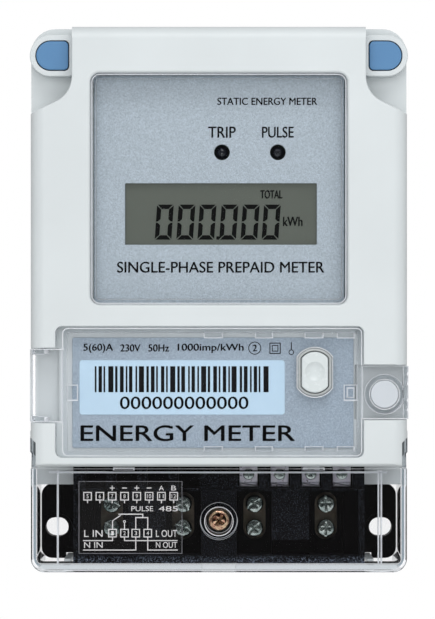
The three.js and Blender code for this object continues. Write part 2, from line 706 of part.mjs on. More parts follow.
const terminalScrew = {
  headR: 2.6,
  headBack: 35.4,
  headFront: 37.8,
  shankR: 1.9,
  tip: 31.4,
  slotted: true,
};
const auxScrew = {
  headR: 1.65,
  headBack: 40.2,
  headFront: 41.8,
  shankR: 0.95,
  tip: 36.3,
  segments: 16,
};
TERMINAL_X.forEach((x, i) => {
  const terminal = new THREE.Group();
  terminal.position.x = x;
  meter.add(terminal);
  add(`terminal_clamp_${i + 1}`, terminalClamp(), "brass", [0, 0, 0], terminal);
  for (const [row, z] of Object.entries(SCREW_Z))
    add(`terminal_screw_${i + 1}_${row}`, screw(terminalScrew), "zinc", [0, 0, z], terminal);
});
AUX_BAYS.filter((x) => x > 0).forEach((x, i) => {
  const terminal = new THREE.Group();
  terminal.position.x = x;
  meter.add(terminal);
  add(`aux_clamp_${i + 1}`, auxClamp(), "nickel", [0, 0, 0], terminal);
  add(`aux_screw_${i + 1}`, screw(auxScrew), "zinc", [0, 0, AUX_SCREW_Z], terminal);
});

// ---- Terminal cover ------------------------------------------------------------------------

const RIB_X = 47.1;
const ARM = { x0: 53.9, x1: 55.6, z1: -40.4, d0: 34, d1: 46 };
const CABLE_SLOT_D = 34;

function terminalCover() {
  const wall = COVER_WALL;
  const rect = { x0: -HALF_WIDTH, x1: HALF_WIDTH, z0: BOTTOM, z1: COVER_TOP + 10, r: 2, rLow: 4 };
  const above = box(-60, 60, COVER_TOP, COVER_TOP + 20, 0, DEPTH);
  const outer = cut(loft(rect, crownRings(0.6, COVER_FRONT, DRAFT, 1.2, 2)), above);
  const inner = {
    x0: rect.x0 + wall,
    x1: rect.x1 - wall,
    z0: rect.z0 + wall,
    z1: COVER_TOP + 20,
    r: 2,
    rLow: 2.5,
  };
  const hollow = loft(inner, [
    { d: 0, inset: 0 },
    { d: COVER_FRONT - wall, inset: DRAFT },
  ]);
  const arm = (side) => {
    const points = [
      [ARM.x0, COVER_TOP - 3],
      [ARM.x1 - 0.4, COVER_TOP - 3],
      [ARM.x1 - 0.4, -45.4],
      [ARM.x1, -44.8],
      [ARM.x1, ARM.z1],
      [ARM.x0, ARM.z1 - 1.6],
    ].map(([x, z]) => [side * x, z]);
    return slab(shapeOf(side > 0 ? points : points.reverse()), ARM.d0, ARM.d1);
  };
  const ribs = join(
    box(-RIB_X - 0.4, -RIB_X + 0.4, BOTTOM + 1, COVER_TOP - 0.6, 50.4, COVER_FRONT - 1),
    box(RIB_X - 0.4, RIB_X + 0.4, BOTTOM + 1, COVER_TOP - 0.6, 50.4, COVER_FRONT - 1),
    box(-49.6, 49.2, COVER_TOP - 1.4, COVER_TOP - 0.6, 48, COVER_FRONT - 1),
  );
  const boss = cut(
    disc(0, COVER_BOSS.z, COVER_BOSS.r, POST.d + 0.3, COVER_FRONT, 32),
    disc(0, COVER_BOSS.z, 2.3, POST.d, 48, 20),
  );
  return cut(
    join(cut(outer, hollow), ribs, boss, arm(-1), arm(1)),
    disc(0, COVER_BOSS.z, COVER_BOSS.boreR, 46.3, COVER_FRONT + 1, 32),
    // The base's ledge and the wires need room at the back.
    box(-60, 60, BASE_BOTTOM - 0.3, COVER_TOP + 1, -1, SEAM + 0.8),
    box(-EAR.x + 1, EAR.x - 1, BOTTOM - 1, BLOCK_BOTTOM + 0.6, -1, CABLE_SLOT_D),
    box(-5, 5, BOTTOM - 1, BOTTOM + 3, CABLE_SLOT_D - 1, CABLE_SLOT_D + 3),
  );
}

const captive = {
  headR: 2.95,
  headBack: 46.7,
  headFront: 49.6,
  shankR: 1.8,
  tip: 33.4,
  segments: 24,
};
const insert = cut(disc(0, 0, 3.4, 32, 43.8), disc(0, 0, 2.1, 31, 45, 20));
const DIAGRAM = { x0: -41, x1: -10.7, z0: -74.3, z1: -53.1, r: 0.3 };

add("terminal_cover", terminalCover(), "clear");
add("wiring_label", plate(DIAGRAM, 53.1, 53.3), "film");
add("cover_screw", screw(captive), "zinc_yellow", [0, 0, COVER_BOSS.z]);
add("cover_screw_insert", insert, "brass", [0, 0, COVER_BOSS.z]);

// ---- Electronics inside the case -----------------------------------------------------------

function mainBoard() {
  return plate({ x0: -46, x1: 46, z0: -40, z1: 63, r: 2 }, BOARD_D, BOARD_D + 1.6);
}

function tactSwitch() {
  const { x, z } = BUTTON;
  return join(box(x - 3, x + 3, z - 3, z + 3, 37.8, 40), disc(x, z, 1.6, 39.5, 40.7, 16));
}

function powerTransformer() {
  return join(
    box(10, 38, -28, -8, 14, 32),
    box(14, 34, -32, -4, 12, 30),
    box(12, 36, -30, -6, 31, BOARD_D - 0.3),
  );
}

function neutralLink() {
  const [inner, outer] = [TERMINAL_X[2], TERMINAL_X[3]];
  const half = 3.2;
  return join(
    box(inner - half, outer + half, BLOCK_TOP + 0.3, -38.7, 26.8, 28.3),
    box(inner - half, inner + half, -45.7, -40, 26.8, 28.3),
    box(outer - half, outer + half, -45.7, -40, 26.8, 28.3),
  );
}

const strip = (x) => box(x - 3.2, x + 3.2, -45.7, -26, 26.8, 28.3);
const batteryGeometry = new THREE.CylinderGeometry(7.2, 7.2, 25, 24).rotateZ(Math.PI / 2);

add("main_board", mainBoard(), "board_green");
add("metering_chip", box(-22, -8, -2, 12, 37.8, 39.4), "chip_black");
add("tact_switch", tactSwitch(), "chip_black");
add("power_transformer", powerTransformer(), "copper");
add("latching_relay", plate({ x0: -38, x1: 0, z0: -36, z1: -4, r: 1 }, 7, 26.4), "chip_black");
add("current_shunt", strip(TERMINAL_X[0]), "copper");
add("relay_busbar", strip(TERMINAL_X[1]), "copper");
add("neutral_link", neutralLink(), "copper");
add("backup_battery", batteryGeometry, "component_blue", [22, -28.4, 12]);
add("filter_capacitor", disc(-26, 14, 6.2, 16, BOARD_D - 0.3), "component_blue");
add("surge_varistor", box(-34, -20, 30, 35, 22, BOARD_D - 0.3), "component_blue");

export default meter;
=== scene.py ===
"""Looks of a wall-mounted prepaid electricity meter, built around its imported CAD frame."""

import json
import math

import bpy
from mathutils import Matrix, Vector

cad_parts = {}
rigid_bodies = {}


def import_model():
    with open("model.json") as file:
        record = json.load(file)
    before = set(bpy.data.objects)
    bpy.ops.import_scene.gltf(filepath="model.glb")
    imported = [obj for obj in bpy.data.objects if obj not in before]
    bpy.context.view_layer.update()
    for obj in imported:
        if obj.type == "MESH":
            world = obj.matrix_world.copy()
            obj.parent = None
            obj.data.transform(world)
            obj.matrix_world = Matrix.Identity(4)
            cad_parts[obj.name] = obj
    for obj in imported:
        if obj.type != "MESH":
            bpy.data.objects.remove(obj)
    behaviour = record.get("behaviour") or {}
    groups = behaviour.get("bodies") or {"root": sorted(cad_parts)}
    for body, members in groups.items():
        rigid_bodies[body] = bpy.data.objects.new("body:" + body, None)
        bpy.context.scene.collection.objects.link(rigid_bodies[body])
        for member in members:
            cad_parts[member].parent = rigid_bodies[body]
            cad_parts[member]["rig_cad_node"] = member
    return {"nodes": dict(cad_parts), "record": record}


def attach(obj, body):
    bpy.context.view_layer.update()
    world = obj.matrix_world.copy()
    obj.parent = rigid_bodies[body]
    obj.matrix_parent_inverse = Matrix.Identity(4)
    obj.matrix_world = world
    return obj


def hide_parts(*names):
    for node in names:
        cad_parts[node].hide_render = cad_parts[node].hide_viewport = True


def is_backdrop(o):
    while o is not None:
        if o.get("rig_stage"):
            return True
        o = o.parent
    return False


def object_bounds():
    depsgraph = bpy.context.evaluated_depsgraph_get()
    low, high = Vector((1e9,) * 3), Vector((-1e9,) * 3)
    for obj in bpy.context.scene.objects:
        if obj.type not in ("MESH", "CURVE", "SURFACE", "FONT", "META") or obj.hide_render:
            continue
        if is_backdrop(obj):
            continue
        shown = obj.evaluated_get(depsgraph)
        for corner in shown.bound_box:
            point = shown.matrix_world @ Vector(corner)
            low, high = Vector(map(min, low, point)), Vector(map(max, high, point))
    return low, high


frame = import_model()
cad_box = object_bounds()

# ---- Dimensions in millimetres. A depth d is a distance in front of the wall: d = -y. ----

MM = 0.001
HALF_WIDTH = 56
TOP = 80
BOTTOM = -80
FRONT = 58
CORNER_R = 7.4
WALL = 2
HOLLOW_X, HOLLOW_LOW, HOLLOW_R = 54, -47, 5.4
BLOCK_GAP_X = 43.4
CLIP_RECESS_X = 53.4
DRAFT = 0.6
CROWN_R = 4.2
SIDE_LEAN, END_LEAN = 0.4, -0.35

COVER_BACK = 26.4
COVER_BOTTOM = -49
SHOULDER_D = 44
BASE_RIM = 25.6
BASE_BOTTOM = -55.4

WINDOW = (-37.45, 37.45, -1.5, 66.1, 2.8)
NAMEPLATE = (-36.6, 36.8, -1, 65.6, 1)
NAMEPLATE_D = 50.2
DISPLAY = (-27.5, 28.7, 16.1, 34.1)
LCD_D = 48.9
SEGMENT_D, SEGMENT = LCD_D + 0.02, 0.04
LAMP_Z = 43.2
LAMP_X = {"trip_led": 0.9, "pulse_led": 17.3}
LAMP_HOLE_R = 2.3

DOOR = (-45.7, 41.8, -45.7, -8.2, 1.7)
DOOR_GAP = 1.9
DOOR_FRONT = 57.5
DOOR_WALL = 1.4
DOOR_FLOOR = 52
HINGE_X, HINGE_D, HINGE_R = -51.7, 54, 3.5
HINGE_Z = (-35.7, -14.4)
SEAL_TAB = (41.5, 55.3, -34.8, -19.3, 0.6)
SEAL_X, SEAL_Z = 48.3, -27.6
BUTTON_X, BUTTON_Z, BUTTON_W, BUTTON_H = 28, -21.2, 7.8, 12
LOWER_PLATE = (-42.9, 39.4, -43.4, -11.1, 0.6)
LOWER_PLATE_D = 52.7
LABEL = (-40.8, 19.3, -33.7, -17.7, 0.9)
LABEL_D = 52.9
COLLAR_D = 56.4

CORNER_SEAL_X, CORNER_SEAL_Z, CORNER_SEAL_W, CORNER_SEAL_H = 48.9, 71.6, 9.4, 8.4
NOTCH_X, NOTCH_ARC_TOP, NOTCH_R, NOTCH_TURN = 42.9, 65.1, 8.1, 1.117

COVER_FRONT = 55
CLEAR_WALL = 1.5
CLEAR_TOP = -49.4
BOSS_Z, BOSS_R, BOSS_BORE = -64.8, 5.4, 3.9
RAISED_D, LIP_Z = 41.2, -75.5
DIAGRAM = (-41, -10.7, -74.3, -53.1)
DIAGRAM_BACK, DIAGRAM_FRONT = 53.1, 53.3

TERMINAL_PITCH = 21.2
TERMINAL_X = [(n - 1.5) * TERMINAL_PITCH for n in range(4)]
SCREW_ROWS = {"upper": -60.6, "lower": -67.8}
AUX_X = [8.8 + 9.2 * n for n in range(4)]
AUX_SCREW_Z = -51.6

CAMERA_DISTANCE = 1100
CAMERA_X, CAMERA_Z = -0.4, -2.9
VIEW_HEIGHT = 190.3
SENSOR = 36
GLOSS_FRONT, GLOSS_ROUND, GLOSS_THROUGH = 0.01, 0.75, 0.08
GLOSS_TURN = (-0.93, -0.35)
WORLD_FILL = 0.45
CLEAR_BEND = 1.3
CLEAR_DENSITY = 28
CLEAR_TINT = (0.985, 0.985, 0.99, 1)
POLISHED = 0.004
FLOOR_Z, FLOOR_R = -200, 900
LIGHT_TARGET = (0, -30, 0)

# Bevels up to this size fit every edge of the object, so they aren't narrowed at its smallest one.
FINE_BEVEL = 0.2
WELD_GAP = 0.002
FLAT_ANGLE = 0.5

# Ink stands this far off its panel and is this thick.
INK_GAP, INK = 0.01, 0.03

QUARTER = math.pi / 2
ARC = 10


# ---- Mesh building ----

def add_object(name, data):
    made = bpy.data.objects.new(name, data)
    bpy.context.scene.collection.objects.link(made)
    return made


def mesh_piece(name, points, faces):
    """A new object from points in millimetres."""
    mesh = bpy.data.meshes.new(name)
    mesh.from_pydata([(x * MM, y * MM, z * MM) for x, y, z in points], [], faces)
    mesh.update()
    return add_object(name, mesh)


def evaluated_mesh(piece):
    """The mesh an object makes once its modifiers, or its text, are worked out."""
    bpy.context.view_layer.update()
    graph = bpy.context.evaluated_depsgraph_get()
    return bpy.data.meshes.new_from_object(piece.evaluated_get(graph))


def arc(x, z, r, start, sweep, steps):
    """Points along part of a circle, from a start angle through a sweep."""
    angles = [start + i / steps * sweep for i in range(steps + 1)]
    return [(x + r * math.cos(a), z + r * math.sin(a)) for a in angles]


def rounded(x0, x1, z0, z1, r, low_r=None):
    """The points of a rounded rectangle, counter-clockwise seen from the front."""
    points = []
    low_r = r if low_r is None else low_r
    corners = ((x1, z1, r), (x0, z1, r), (x0, z0, low_r), (x1, z0, low_r))
    for quarter, (x, z, radius) in enumerate(corners):
        cx = x - math.copysign(radius, x - (x0 + x1) / 2)
        cz = z - math.copysign(radius, z - (z0 + z1) / 2)
        points += arc(cx, cz, radius, quarter * QUARTER, QUARTER, ARC)
    return points


def circle(x, z, r, steps=48):
    """The points of a circle, counter-clockwise seen from the front."""
    return arc(x, z, r, 0, 4 * QUARTER, steps)[:-1]


def shrunk(sides, by):
    """A rectangle's four sides, each moved inwards."""
    x0, x1, z0, z1 = sides[:4]
    return x0 + by, x1 - by, z0 + by, z1 - by


def around(x, z, half_w, half_h):
    """A rectangle's four sides, from its middle."""
    return x - half_w, x + half_w, z - half_h, z + half_h


def on_side(side, points):
    """An outline drawn for the right side, or its mirror image for the left."""
    return points if side > 0 else [(-x, z) for x, z in reversed(points)]


def offset(points, inset):
    """Moves a closed outline inwards, each corner along its mitre."""
    if inset == 0:
        return list(points)
    moved = []
    count = len(points)
    for i, (x, z) in enumerate(points):
        before = Vector((x - points[i - 1][0], z - points[i - 1][1])).normalized()
        after = points[(i + 1) % count]
        after = Vector((after[0] - x, after[1] - z)).normalized()
        normal = Vector((-before.y - after.y, before.x + after.x)).normalized()
        reach = inset / max(normal.dot(Vector((-before.y, before.x))), 0.3)
        moved.append((x + normal.x * reach, z + normal.y * reach))
    return moved


def loft(outline, rings):
    """A closed solid through an outline at several (depth, inset) rings, back to front."""
    points = []
    for depth, inset in rings:
        loop = outline(inset) if callable(outline) else offset(outline, inset)
        points += [(x, -depth, z) for x, z in loop]
    count = len(loop)
    faces = [tuple(reversed(range(count)))]
    for k in range(len(rings) - 1):
        for i in range(count):
            a, b = k * count + i, k * count + (i + 1) % count
            faces.append((a, b, b + count, a + count))
    faces.append(tuple(range(count * (len(rings) - 1), count * len(rings))))
    return mesh_piece("part", points, faces)


def prism(outline, d0, d1):
    """A solid with straight walls."""
    return loft(outline, [(d0, 0), (d1, 0)])


def turnover(depth, r, inset=0.0, steps=4):
    """Rings that round an edge up to a depth. A negative radius turns them outwards."""
    angles = [i / steps * QUARTER for i in range(steps + 1)]
    return [(depth - abs(r) * (1 - math.sin(a)), inset + r * (1 - math.cos(a))) for a in angles]


def eased(d0, d1, r=0.3, back_r=0.0, steps=4):
    """Rings of a slab whose front edge, and back edge if asked, is rounded."""
    rings = [(d0, 0)]
    if back_r:
        rings = [(2 * d0 - depth, inset) for depth, inset in reversed(turnover(d0, back_r, 0, steps))]
    return rings + turnover(d1, r, 0, steps)


def mouth(d0, d1, r=0.35):
    """Rings of a cutter that leaves a rounded edge where it comes out at depth d1."""
    return [(d0, 0), *turnover(d1, -r), (d1 + 2, -r)]


def box(x0, x1, z0, z1, d0, d1):
    """A plain block, for cutting and joining."""
    return prism([(x0, z0), (x1, z0), (x1, z1), (x0, z1)], d0, d1)


def slab(x0, x1, z0, z1, r, d0, d1, low_r=None, front_r=0.3):
    """A rounded plate with an eased front edge."""
    return loft(rounded(x0, x1, z0, z1, r, low_r), eased(d0, d1, front_r))


def disc(x, z, r, d0, d1, steps=48):
    return prism(circle(x, z, r, steps), d0, d1)


def upright(outline, z0, z1):
    """A solid that stands from z0 to z1. Its outline goes from X towards depth."""
    count = len(outline)
    points = [(x, -d, z) for z in (z0, z1) for x, d in outline]
    faces = [tuple(range(count)), tuple(reversed(range(count, 2 * count)))]
    faces += [((i + 1) % count, i, i + count, (i + 1) % count + count) for i in range(count)]
    return mesh_piece("part", points, faces)


def revolve(profile, x=0, z=0, steps=48):
    """A turned solid about the depth axis. The profile is (radius, depth) from back to front."""
    points, rings = [], []
    for r, d in profile:
        if r == 0:
            rings.append([len(points)])
            points.append((x, -d, z))
        else:
            rings.append(list(range(len(points), len(points) + steps)))
            points += [(px, -d, pz) for px, pz in circle(x, z, r, steps)]
    faces = []
    for low, high in zip(rings, rings[1:]):
        for i in range(steps):
            j = (i + 1) % steps
            a, b = low[i % len(low)], low[j % len(low)]
            c, d = high[j % len(high)], high[i % len(high)]
            faces.append(tuple(dict.fromkeys((a, b, c, d))))
    for ring, flip in ((rings[0], True), (rings[-1], False)):
        if len(ring) > 1:
            faces.append(tuple(reversed(ring)) if flip else tuple(ring))
    return mesh_piece("part", points, faces)


def combine(base, others, operation):
    """Joins solids to a base or cuts them from it, and uses them up."""
    for other in others:
        modifier = base.modifiers.new("combine", "BOOLEAN")
        modifier.operation = operation
        modifier.solver = "MANIFOLD"
        modifier.object = other
    mesh = evaluated_mesh(base)
    base.modifiers.clear()
    base.data = mesh
    for other in others:
        bpy.data.objects.remove(other)
    return base


def cut(base, *others):
    return combine(base, others, "DIFFERENCE")


def join(base, *others):
    return combine(base, others, "UNION")


def flatten(piece):
    """Welds a mesh and makes one face of each flat."""
    piece.modifiers.new("weld", "WELD").merge_threshold = WELD_GAP * MM
    flat = piece.modifiers.new("flat", "DECIMATE")
    flat.decimate_type = "DISSOLVE"
    flat.angle_limit = math.radians(FLAT_ANGLE)
    return flat


def round_edges(piece, bevel, angle):
    """Bevels the edges that turn by more than an angle."""
    rounding = piece.modifiers.new("rounding", "BEVEL")
    rounding.width = bevel * MM
    rounding.segments = 2
    rounding.limit_method = "ANGLE"
    rounding.angle_limit = math.radians(angle)
    rounding.use_clamp_overlap = False
    return rounding


def smooth(piece, bevel=0.0, angle=32, dissolve=False):
    """Rounds the sharp edges of a piece and shades it smoothly between them."""
    if dissolve:
        flatten(piece)
    if bevel:
        rounding = round_edges(piece, bevel, angle)
        rounding.miter_outer = "MITER_ARC"
        rounding.use_clamp_overlap = bevel > FINE_BEVEL
    if "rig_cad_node" not in piece:
        piece.data.shade_smooth()
        if not bevel:
            piece.data.set_sharp_from_angle(angle=math.radians(angle))
    piece.modifiers.new("normals", "WEIGHTED_NORMAL").keep_sharp = True
    return piece


def clear_piece(piece, name, body, node, bevel=0.2, rims=(), turned=(0.2, 0.98), left=-HALF_WIDTH):
    """Finishes a clear moulding. Its eased edges, and its rims at those depths, get a pale material that
    paints highlight lines on them.

    Edges are the faces that turn from the front by the given amounts, right of the given place.
    """
    finish_piece(piece, name, body, "clear", node)
    # The second material is painted highlight: pale lines on the edge and rim faces.
    piece.data.materials.append(M["clear_edge"])
    for face in piece.data.polygons:
        depth = -face.center.y / MM
        is_rim = face.normal.y > 0.9 and any(abs(depth - rim) < 0.05 for rim in rims)
        is_edge = turned[0] < -face.normal.y < turned[1] and face.center.x > left * MM
        if is_rim or is_edge:
            face.material_index = 1
    flatten(piece).delimit = {"MATERIAL"}
    round_edges(piece, bevel, 40).material = 1
    smooth(piece, angle=35)


def finish_piece(piece, name, body, slot, *nodes, material=None):
    """Names a piece and seats it on its body in place of its nodes, in its slot's material or another."""
    piece.name = name
    piece.data.name = name
    piece.data.materials.clear()
    piece.data.materials.append(M[material or slot])
    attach(piece, body)
    if nodes:
        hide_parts(*nodes)


# ---- Materials ----

def srgb(r, g, b):
    """A colour given as 0 to 255 display values, as linear light."""
    linear = [(c / 255) / 12.92 if c <= 10 else ((c / 255 + 0.055) / 1.055) ** 2.4 for c in (r, g, b)]
    return (*linear, 1)


def scaled(color, factor, lift=0.0):
    """A darker or lighter shade of a colour."""
    return (*(min(1, c * factor + lift) for c in color[:3]), 1)


class NodeTree:
    """Short calls for making and linking nodes."""

    def __init__(self, tree):
        self.nodes = tree.nodes
        self.links = tree.links

    def node(self, kind, **settings):
        made = self.nodes.new(kind)
        for key, value in settings.items():
            if key in made.inputs:
                made.inputs[key].default_value = value
            else:
                setattr(made, key, value)
        return made

    def link(self, a, b):
        self.links.new(a, b)

    def maths(self, operation, a, b):
        """A sum on two values, each a number or another node's output."""
        made = self.node("ShaderNodeMath", operation=operation)
        for socket, value in zip(made.inputs, (a, b)):
            if isinstance(value, (int, float)):
                socket.default_value = value
            else:
                self.link(value, socket)
        return made.outputs[0]

    def remap(self, value, low, high, from_low=0.3, from_high=0.7, **settings):
        limits = {"From Min": from_low, "From Max": from_high, "To Min": low, "To Max": high}
        made = self.node("ShaderNodeMapRange", **limits, **settings)
        self.link(value, made.inputs["Value"])
        return made.outputs["Result"]


class Shader(NodeTree):
    """A material with a Principled surface."""

    def __init__(self, name, color, roughness, metallic=0.0, **inputs):
        self.material = bpy.data.materials.new(name)
        self.material.use_nodes = True
        super().__init__(self.material.node_tree)
        self.surface = self.nodes["Principled BSDF"]
        self.output = self.nodes["Material Output"]
        self.color = color
        values = {"Base Color": color, "Roughness": roughness, "Metallic": metallic, **inputs}
        for key, value in values.items():
            self.surface.inputs[key].default_value = value
        self.place = self.node("ShaderNodeTexCoord").outputs["Object"]

    def noise(self, scale, detail=2.0, roughness=0.5):
        """Noise with that many features per metre."""
        made = self.node("ShaderNodeTexNoise", Scale=scale, Detail=detail, Roughness=roughness)
        self.link(self.place, made.inputs["Vector"])
        return made.outputs["Fac"]

    def tint(self, value, other, amount=1.0, from_low=0.3, from_high=0.7):
        """Mixes the base colour towards another colour by a 0 to 1 value."""
        mix = self.node("ShaderNodeMix", data_type="RGBA")
        source = self.surface.inputs["Base Color"]
        mix.inputs[6].default_value = self.color
        mix.inputs[7].default_value = other
        if source.is_linked:
            self.link(source.links[0].from_socket, mix.inputs[6])
        self.link(self.remap(value, 0, amount, from_low, from_high), mix.inputs["Factor"])
        self.link(mix.outputs[2], source)

    def vary_roughness(self, value, low, high):
        self.link(self.remap(value, low, high), self.surface.inputs["Roughness"])

    def bump(self, value, strength, depth_mm):
        made = self.node("ShaderNodeBump", Strength=strength, Distance=depth_mm * MM)
        source = self.surface.inputs["Normal"]
        if source.is_linked:
            self.link(source.links[0].from_socket, made.inputs["Normal"])
        self.link(value, made.inputs["Height"])
        self.link(made.outputs["Normal"], source)


def moulded(name, color, roughness, depth=0.012, coat=0.0):
    """Moulded plastic: a fine spark-eroded grain, faint colour drift and uneven gloss."""
    s = Shader(name, color, roughness, **{"Coat Weight": coat})
    s.tint(s.noise(28, 3), scaled(color, 0.88), 0.5)
    s.vary_roughness(s.noise(420, 3), roughness - 0.05, roughness + 0.07)
    s.bump(s.noise(2600, 3, 0.6), 0.35, depth)
    return s.material


def lacquered(name, color, other):
    """Silver-grey lacquer flecked with flake: the darker flecks are the flake's tone, the lighter ones
    painted glints.
    """
    s = Shader(name, color, 0.42, metallic=0.25)
    s.tint(s.noise(40, 2), other, 0.35)
    # Lighter flecks: painted glints of the flake.
    s.tint(s.noise(2700, 1), scaled(color, 1.8), 0.42)
    s.tint(s.noise(3100, 1, 0.4), scaled(color, 0.6), 0.32)
    s.vary_roughness(s.noise(3800, 1), 0.34, 0.52)
    s.bump(s.noise(3000, 2), 0.15, 0.01)
    return s.material


def plated(name, color, roughness, other, patch=330, metallic=1.0):
    """Plated metal with a fine uneven gloss and patches of a second colour: tarnish on most metals, and
    on bright zinc a painted dark teal reflection.
    """
    s = Shader(name, color, roughness, metallic=metallic)
    # The patches: tarnish, except on bright zinc, where they are a painted reflection.
    s.tint(s.noise(patch, 3), other, 0.8)
    s.vary_roughness(s.noise(700, 4), roughness - 0.08, roughness + 0.14)
    s.bump(s.noise(1500, 3), 0.2, 0.02)
    return s.material


def clear_plastic(name, roughness):
    """Polished clear polycarbonate: nearly invisible face on, greyer the more of it there is."""
    polish = {"Transmission Weight": 1.0, "Coat Weight": 0.9, "Coat Roughness": 0.02}
    s = Shader(name, CLEAR_TINT, roughness, IOR=CLEAR_BEND, **polish)
    haze = s.node("ShaderNodeVolumeAbsorption", Color=(0.3, 0.42, 0.5, 1), Density=CLEAR_DENSITY)
    s.link(haze.outputs[0], s.output.inputs["Volume"])
    s.bump(s.noise(90, 2), 0.03, 0.03)
    through = s.node("ShaderNodeBsdfTransparent", Color=CLEAR_TINT)
    path = s.node("ShaderNodeLightPath").outputs
    mix = s.node("ShaderNodeMixShader")
    s.link(s.maths("MAXIMUM", path["Is Shadow Ray"], path["Is Diffuse Ray"]), mix.inputs[0])
    s.link(s.surface.outputs[0], mix.inputs[1])
    s.link(through.outputs[0], mix.inputs[2])
    s.link(mix.outputs[0], s.output.inputs["Surface"])
    return s.material


def frosted(name, color, alpha):
    """Painted highlight for the edges of a clear moulding: a pale, half-opaque colour that half hides
    what is behind it.
    """
    s = Shader(name, color, 0.35, Alpha=alpha)
    s.tint(s.noise(700, 3), scaled(color, 0.72), 0.25)
    s.bump(s.noise(1800, 3), 0.15, 0.01)
    return s.material


def block_black(name):
    """Black glass-filled moulding, smooth in the wells and coarsely grained on its raised faces."""
    s = Shader(name, srgb(2, 1, 2), 0.4)
    axes = s.node("ShaderNodeSeparateXYZ")
    s.link(s.place, axes.inputs[0])
    raised = s.remap(axes.outputs["Y"], 1, 0, (-RAISED_D - 0.6) * MM, -RAISED_D * MM)
    low_lip = s.remap(axes.outputs["Z"], 1, 0.2, (LIP_Z - 1) * MM, LIP_Z * MM)
    grain = s.maths("MULTIPLY", s.remap(s.noise(2900, 2, 0.6), 0, 1, 0.5, 0.72), raised)
    s.tint(s.maths("MULTIPLY", grain, low_lip), srgb(112, 122, 138), 1.0, 0, 1)
    s.link(s.remap(raised, 0.02, 0.05, 0, 1), s.surface.inputs["Specular IOR Level"])
    s.bump(grain, 0.8, 0.1)
    s.bump(s.noise(2600, 2), 0.2, 0.02)
    return s.material


def label_blue(name):
    s = Shader(name, srgb(187, 213, 231), 0.5)
    s.tint(s.noise(900, 3), srgb(178, 205, 226), 0.5)
    s.bump(s.noise(1800, 3), 0.2, 0.01)
    return s.material


def lcd_face(name):
    """The reflective back of a liquid crystal cell under its polariser."""
    s = Shader(name, srgb(90, 95, 87), 0.3, **{"Coat Weight": 0.6, "Coat Roughness": 0.03})
    s.tint(s.noise(2600, 2), srgb(82, 87, 79), 0.5)
    return s.material


def ink(name, color, roughness=0.6):
    s = Shader(name, color, roughness, **{"Specular IOR Level": 0.1})
    s.tint(s.noise(3000, 2), scaled(color, 1.3, 0.003), 0.5)
    return s.material


def wound_copper(name):
    s = Shader(name, srgb(190, 120, 72), 0.3, metallic=1.0)
    s.tint(s.noise(300, 3), srgb(150, 88, 54), 0.8)
    s.bump(s.noise(900, 3), 0.3, 0.03)
    return s.material


def board_green(name):
    s = Shader(name, srgb(30, 92, 58), 0.35)
    s.tint(s.noise(240, 4, 0.7), srgb(22, 72, 45), 0.8)
    s.bump(s.noise(1600, 2), 0.3, 0.02)
    return s.material


RECIPES = {
    "case_grey": (moulded, srgb(197, 203, 205), 0.4),
    "clear": (clear_plastic, 0.015),
    # Pale painted highlight lines on the edges and rims of the clear mouldings.
    "clear_edge": (frosted, srgb(238, 240, 244), 0.75),
    # Collar: a darker grey copy of the case plastic, which paints the shade that falls on the collar.
    "collar": (moulded, srgb(170, 174, 174), 0.22, POLISHED),
    "seal_blue": (moulded, srgb(80, 125, 167), 0.38),
    "panel_silver": (lacquered, srgb(170, 181, 189), srgb(166, 176, 184)),
    "panel_slate": (lacquered, srgb(154, 168, 181), srgb(152, 164, 176)),
    "label_blue": (label_blue,),
    "lcd": (lcd_face,),
    "white_plastic": (moulded, srgb(196, 203, 204), 0.24, POLISHED),
    "seal_white": (moulded, srgb(185, 191, 197), 0.35, POLISHED),
    "block_black": (block_black,),
    "led_dark": (moulded, srgb(14, 18, 27), 0.05, 0.0005, 1.0),
    "board_green": (board_green,),
    "chip_black": (moulded, srgb(24, 24, 26), 0.5),
    "brass": (plated, srgb(122, 115, 102), 0.36, srgb(96, 88, 76)),
    "nickel": (plated, srgb(226, 226, 234), 0.32, srgb(176, 170, 192), 330, 0.7),
    # Bright zinc: its dark teal patches are a painted reflection, not tarnish.
    "zinc": (plated, srgb(214, 224, 220), 0.13, srgb(70, 104, 102)),
    "zinc_yellow": (plated, srgb(248, 226, 186), 0.14, srgb(150, 44, 60), 900),
    "copper": (wound_copper,),
    "rubber_grey": (moulded, srgb(112, 117, 119), 0.8),
    "component_blue": (moulded, srgb(48, 98, 160), 0.4),
    "film": (clear_plastic, 0.02),
    "ink_black": (ink, srgb(12, 12, 14)),
    "label_edge": (ink, srgb(120, 120, 124)),
    "ink_white": (ink, srgb(206, 204, 204)),
    "lcd_segment": (ink, srgb(4, 4, 4), 0.35),
}
M = {name: make(name, *values) for name, (make, *values) in RECIPES.items()}


# ---- Outlines of the front cover's corners ----

def seal_outline(side, grow=0.0):
    """The D shape of a corner seal: round outwards, small corners inwards."""
    half = CORNER_SEAL_H / 2 + grow
    inner = CORNER_SEAL_X - CORNER_SEAL_W / 2 - grow
    centre = CORNER_SEAL_X + CORNER_SEAL_W / 2 - CORNER_SEAL_H / 2
    corner = 1.3 + grow * 0.3
    z = CORNER_SEAL_Z
    points = arc(inner + corner, z + half - corner, corner, QUARTER, QUARTER, 5)
    points += arc(inner + corner, z - half + corner, corner, math.pi, QUARTER, 5)
    points += arc(centre, z, half, -QUARTER, math.pi, 24)
    return on_side(side, points)


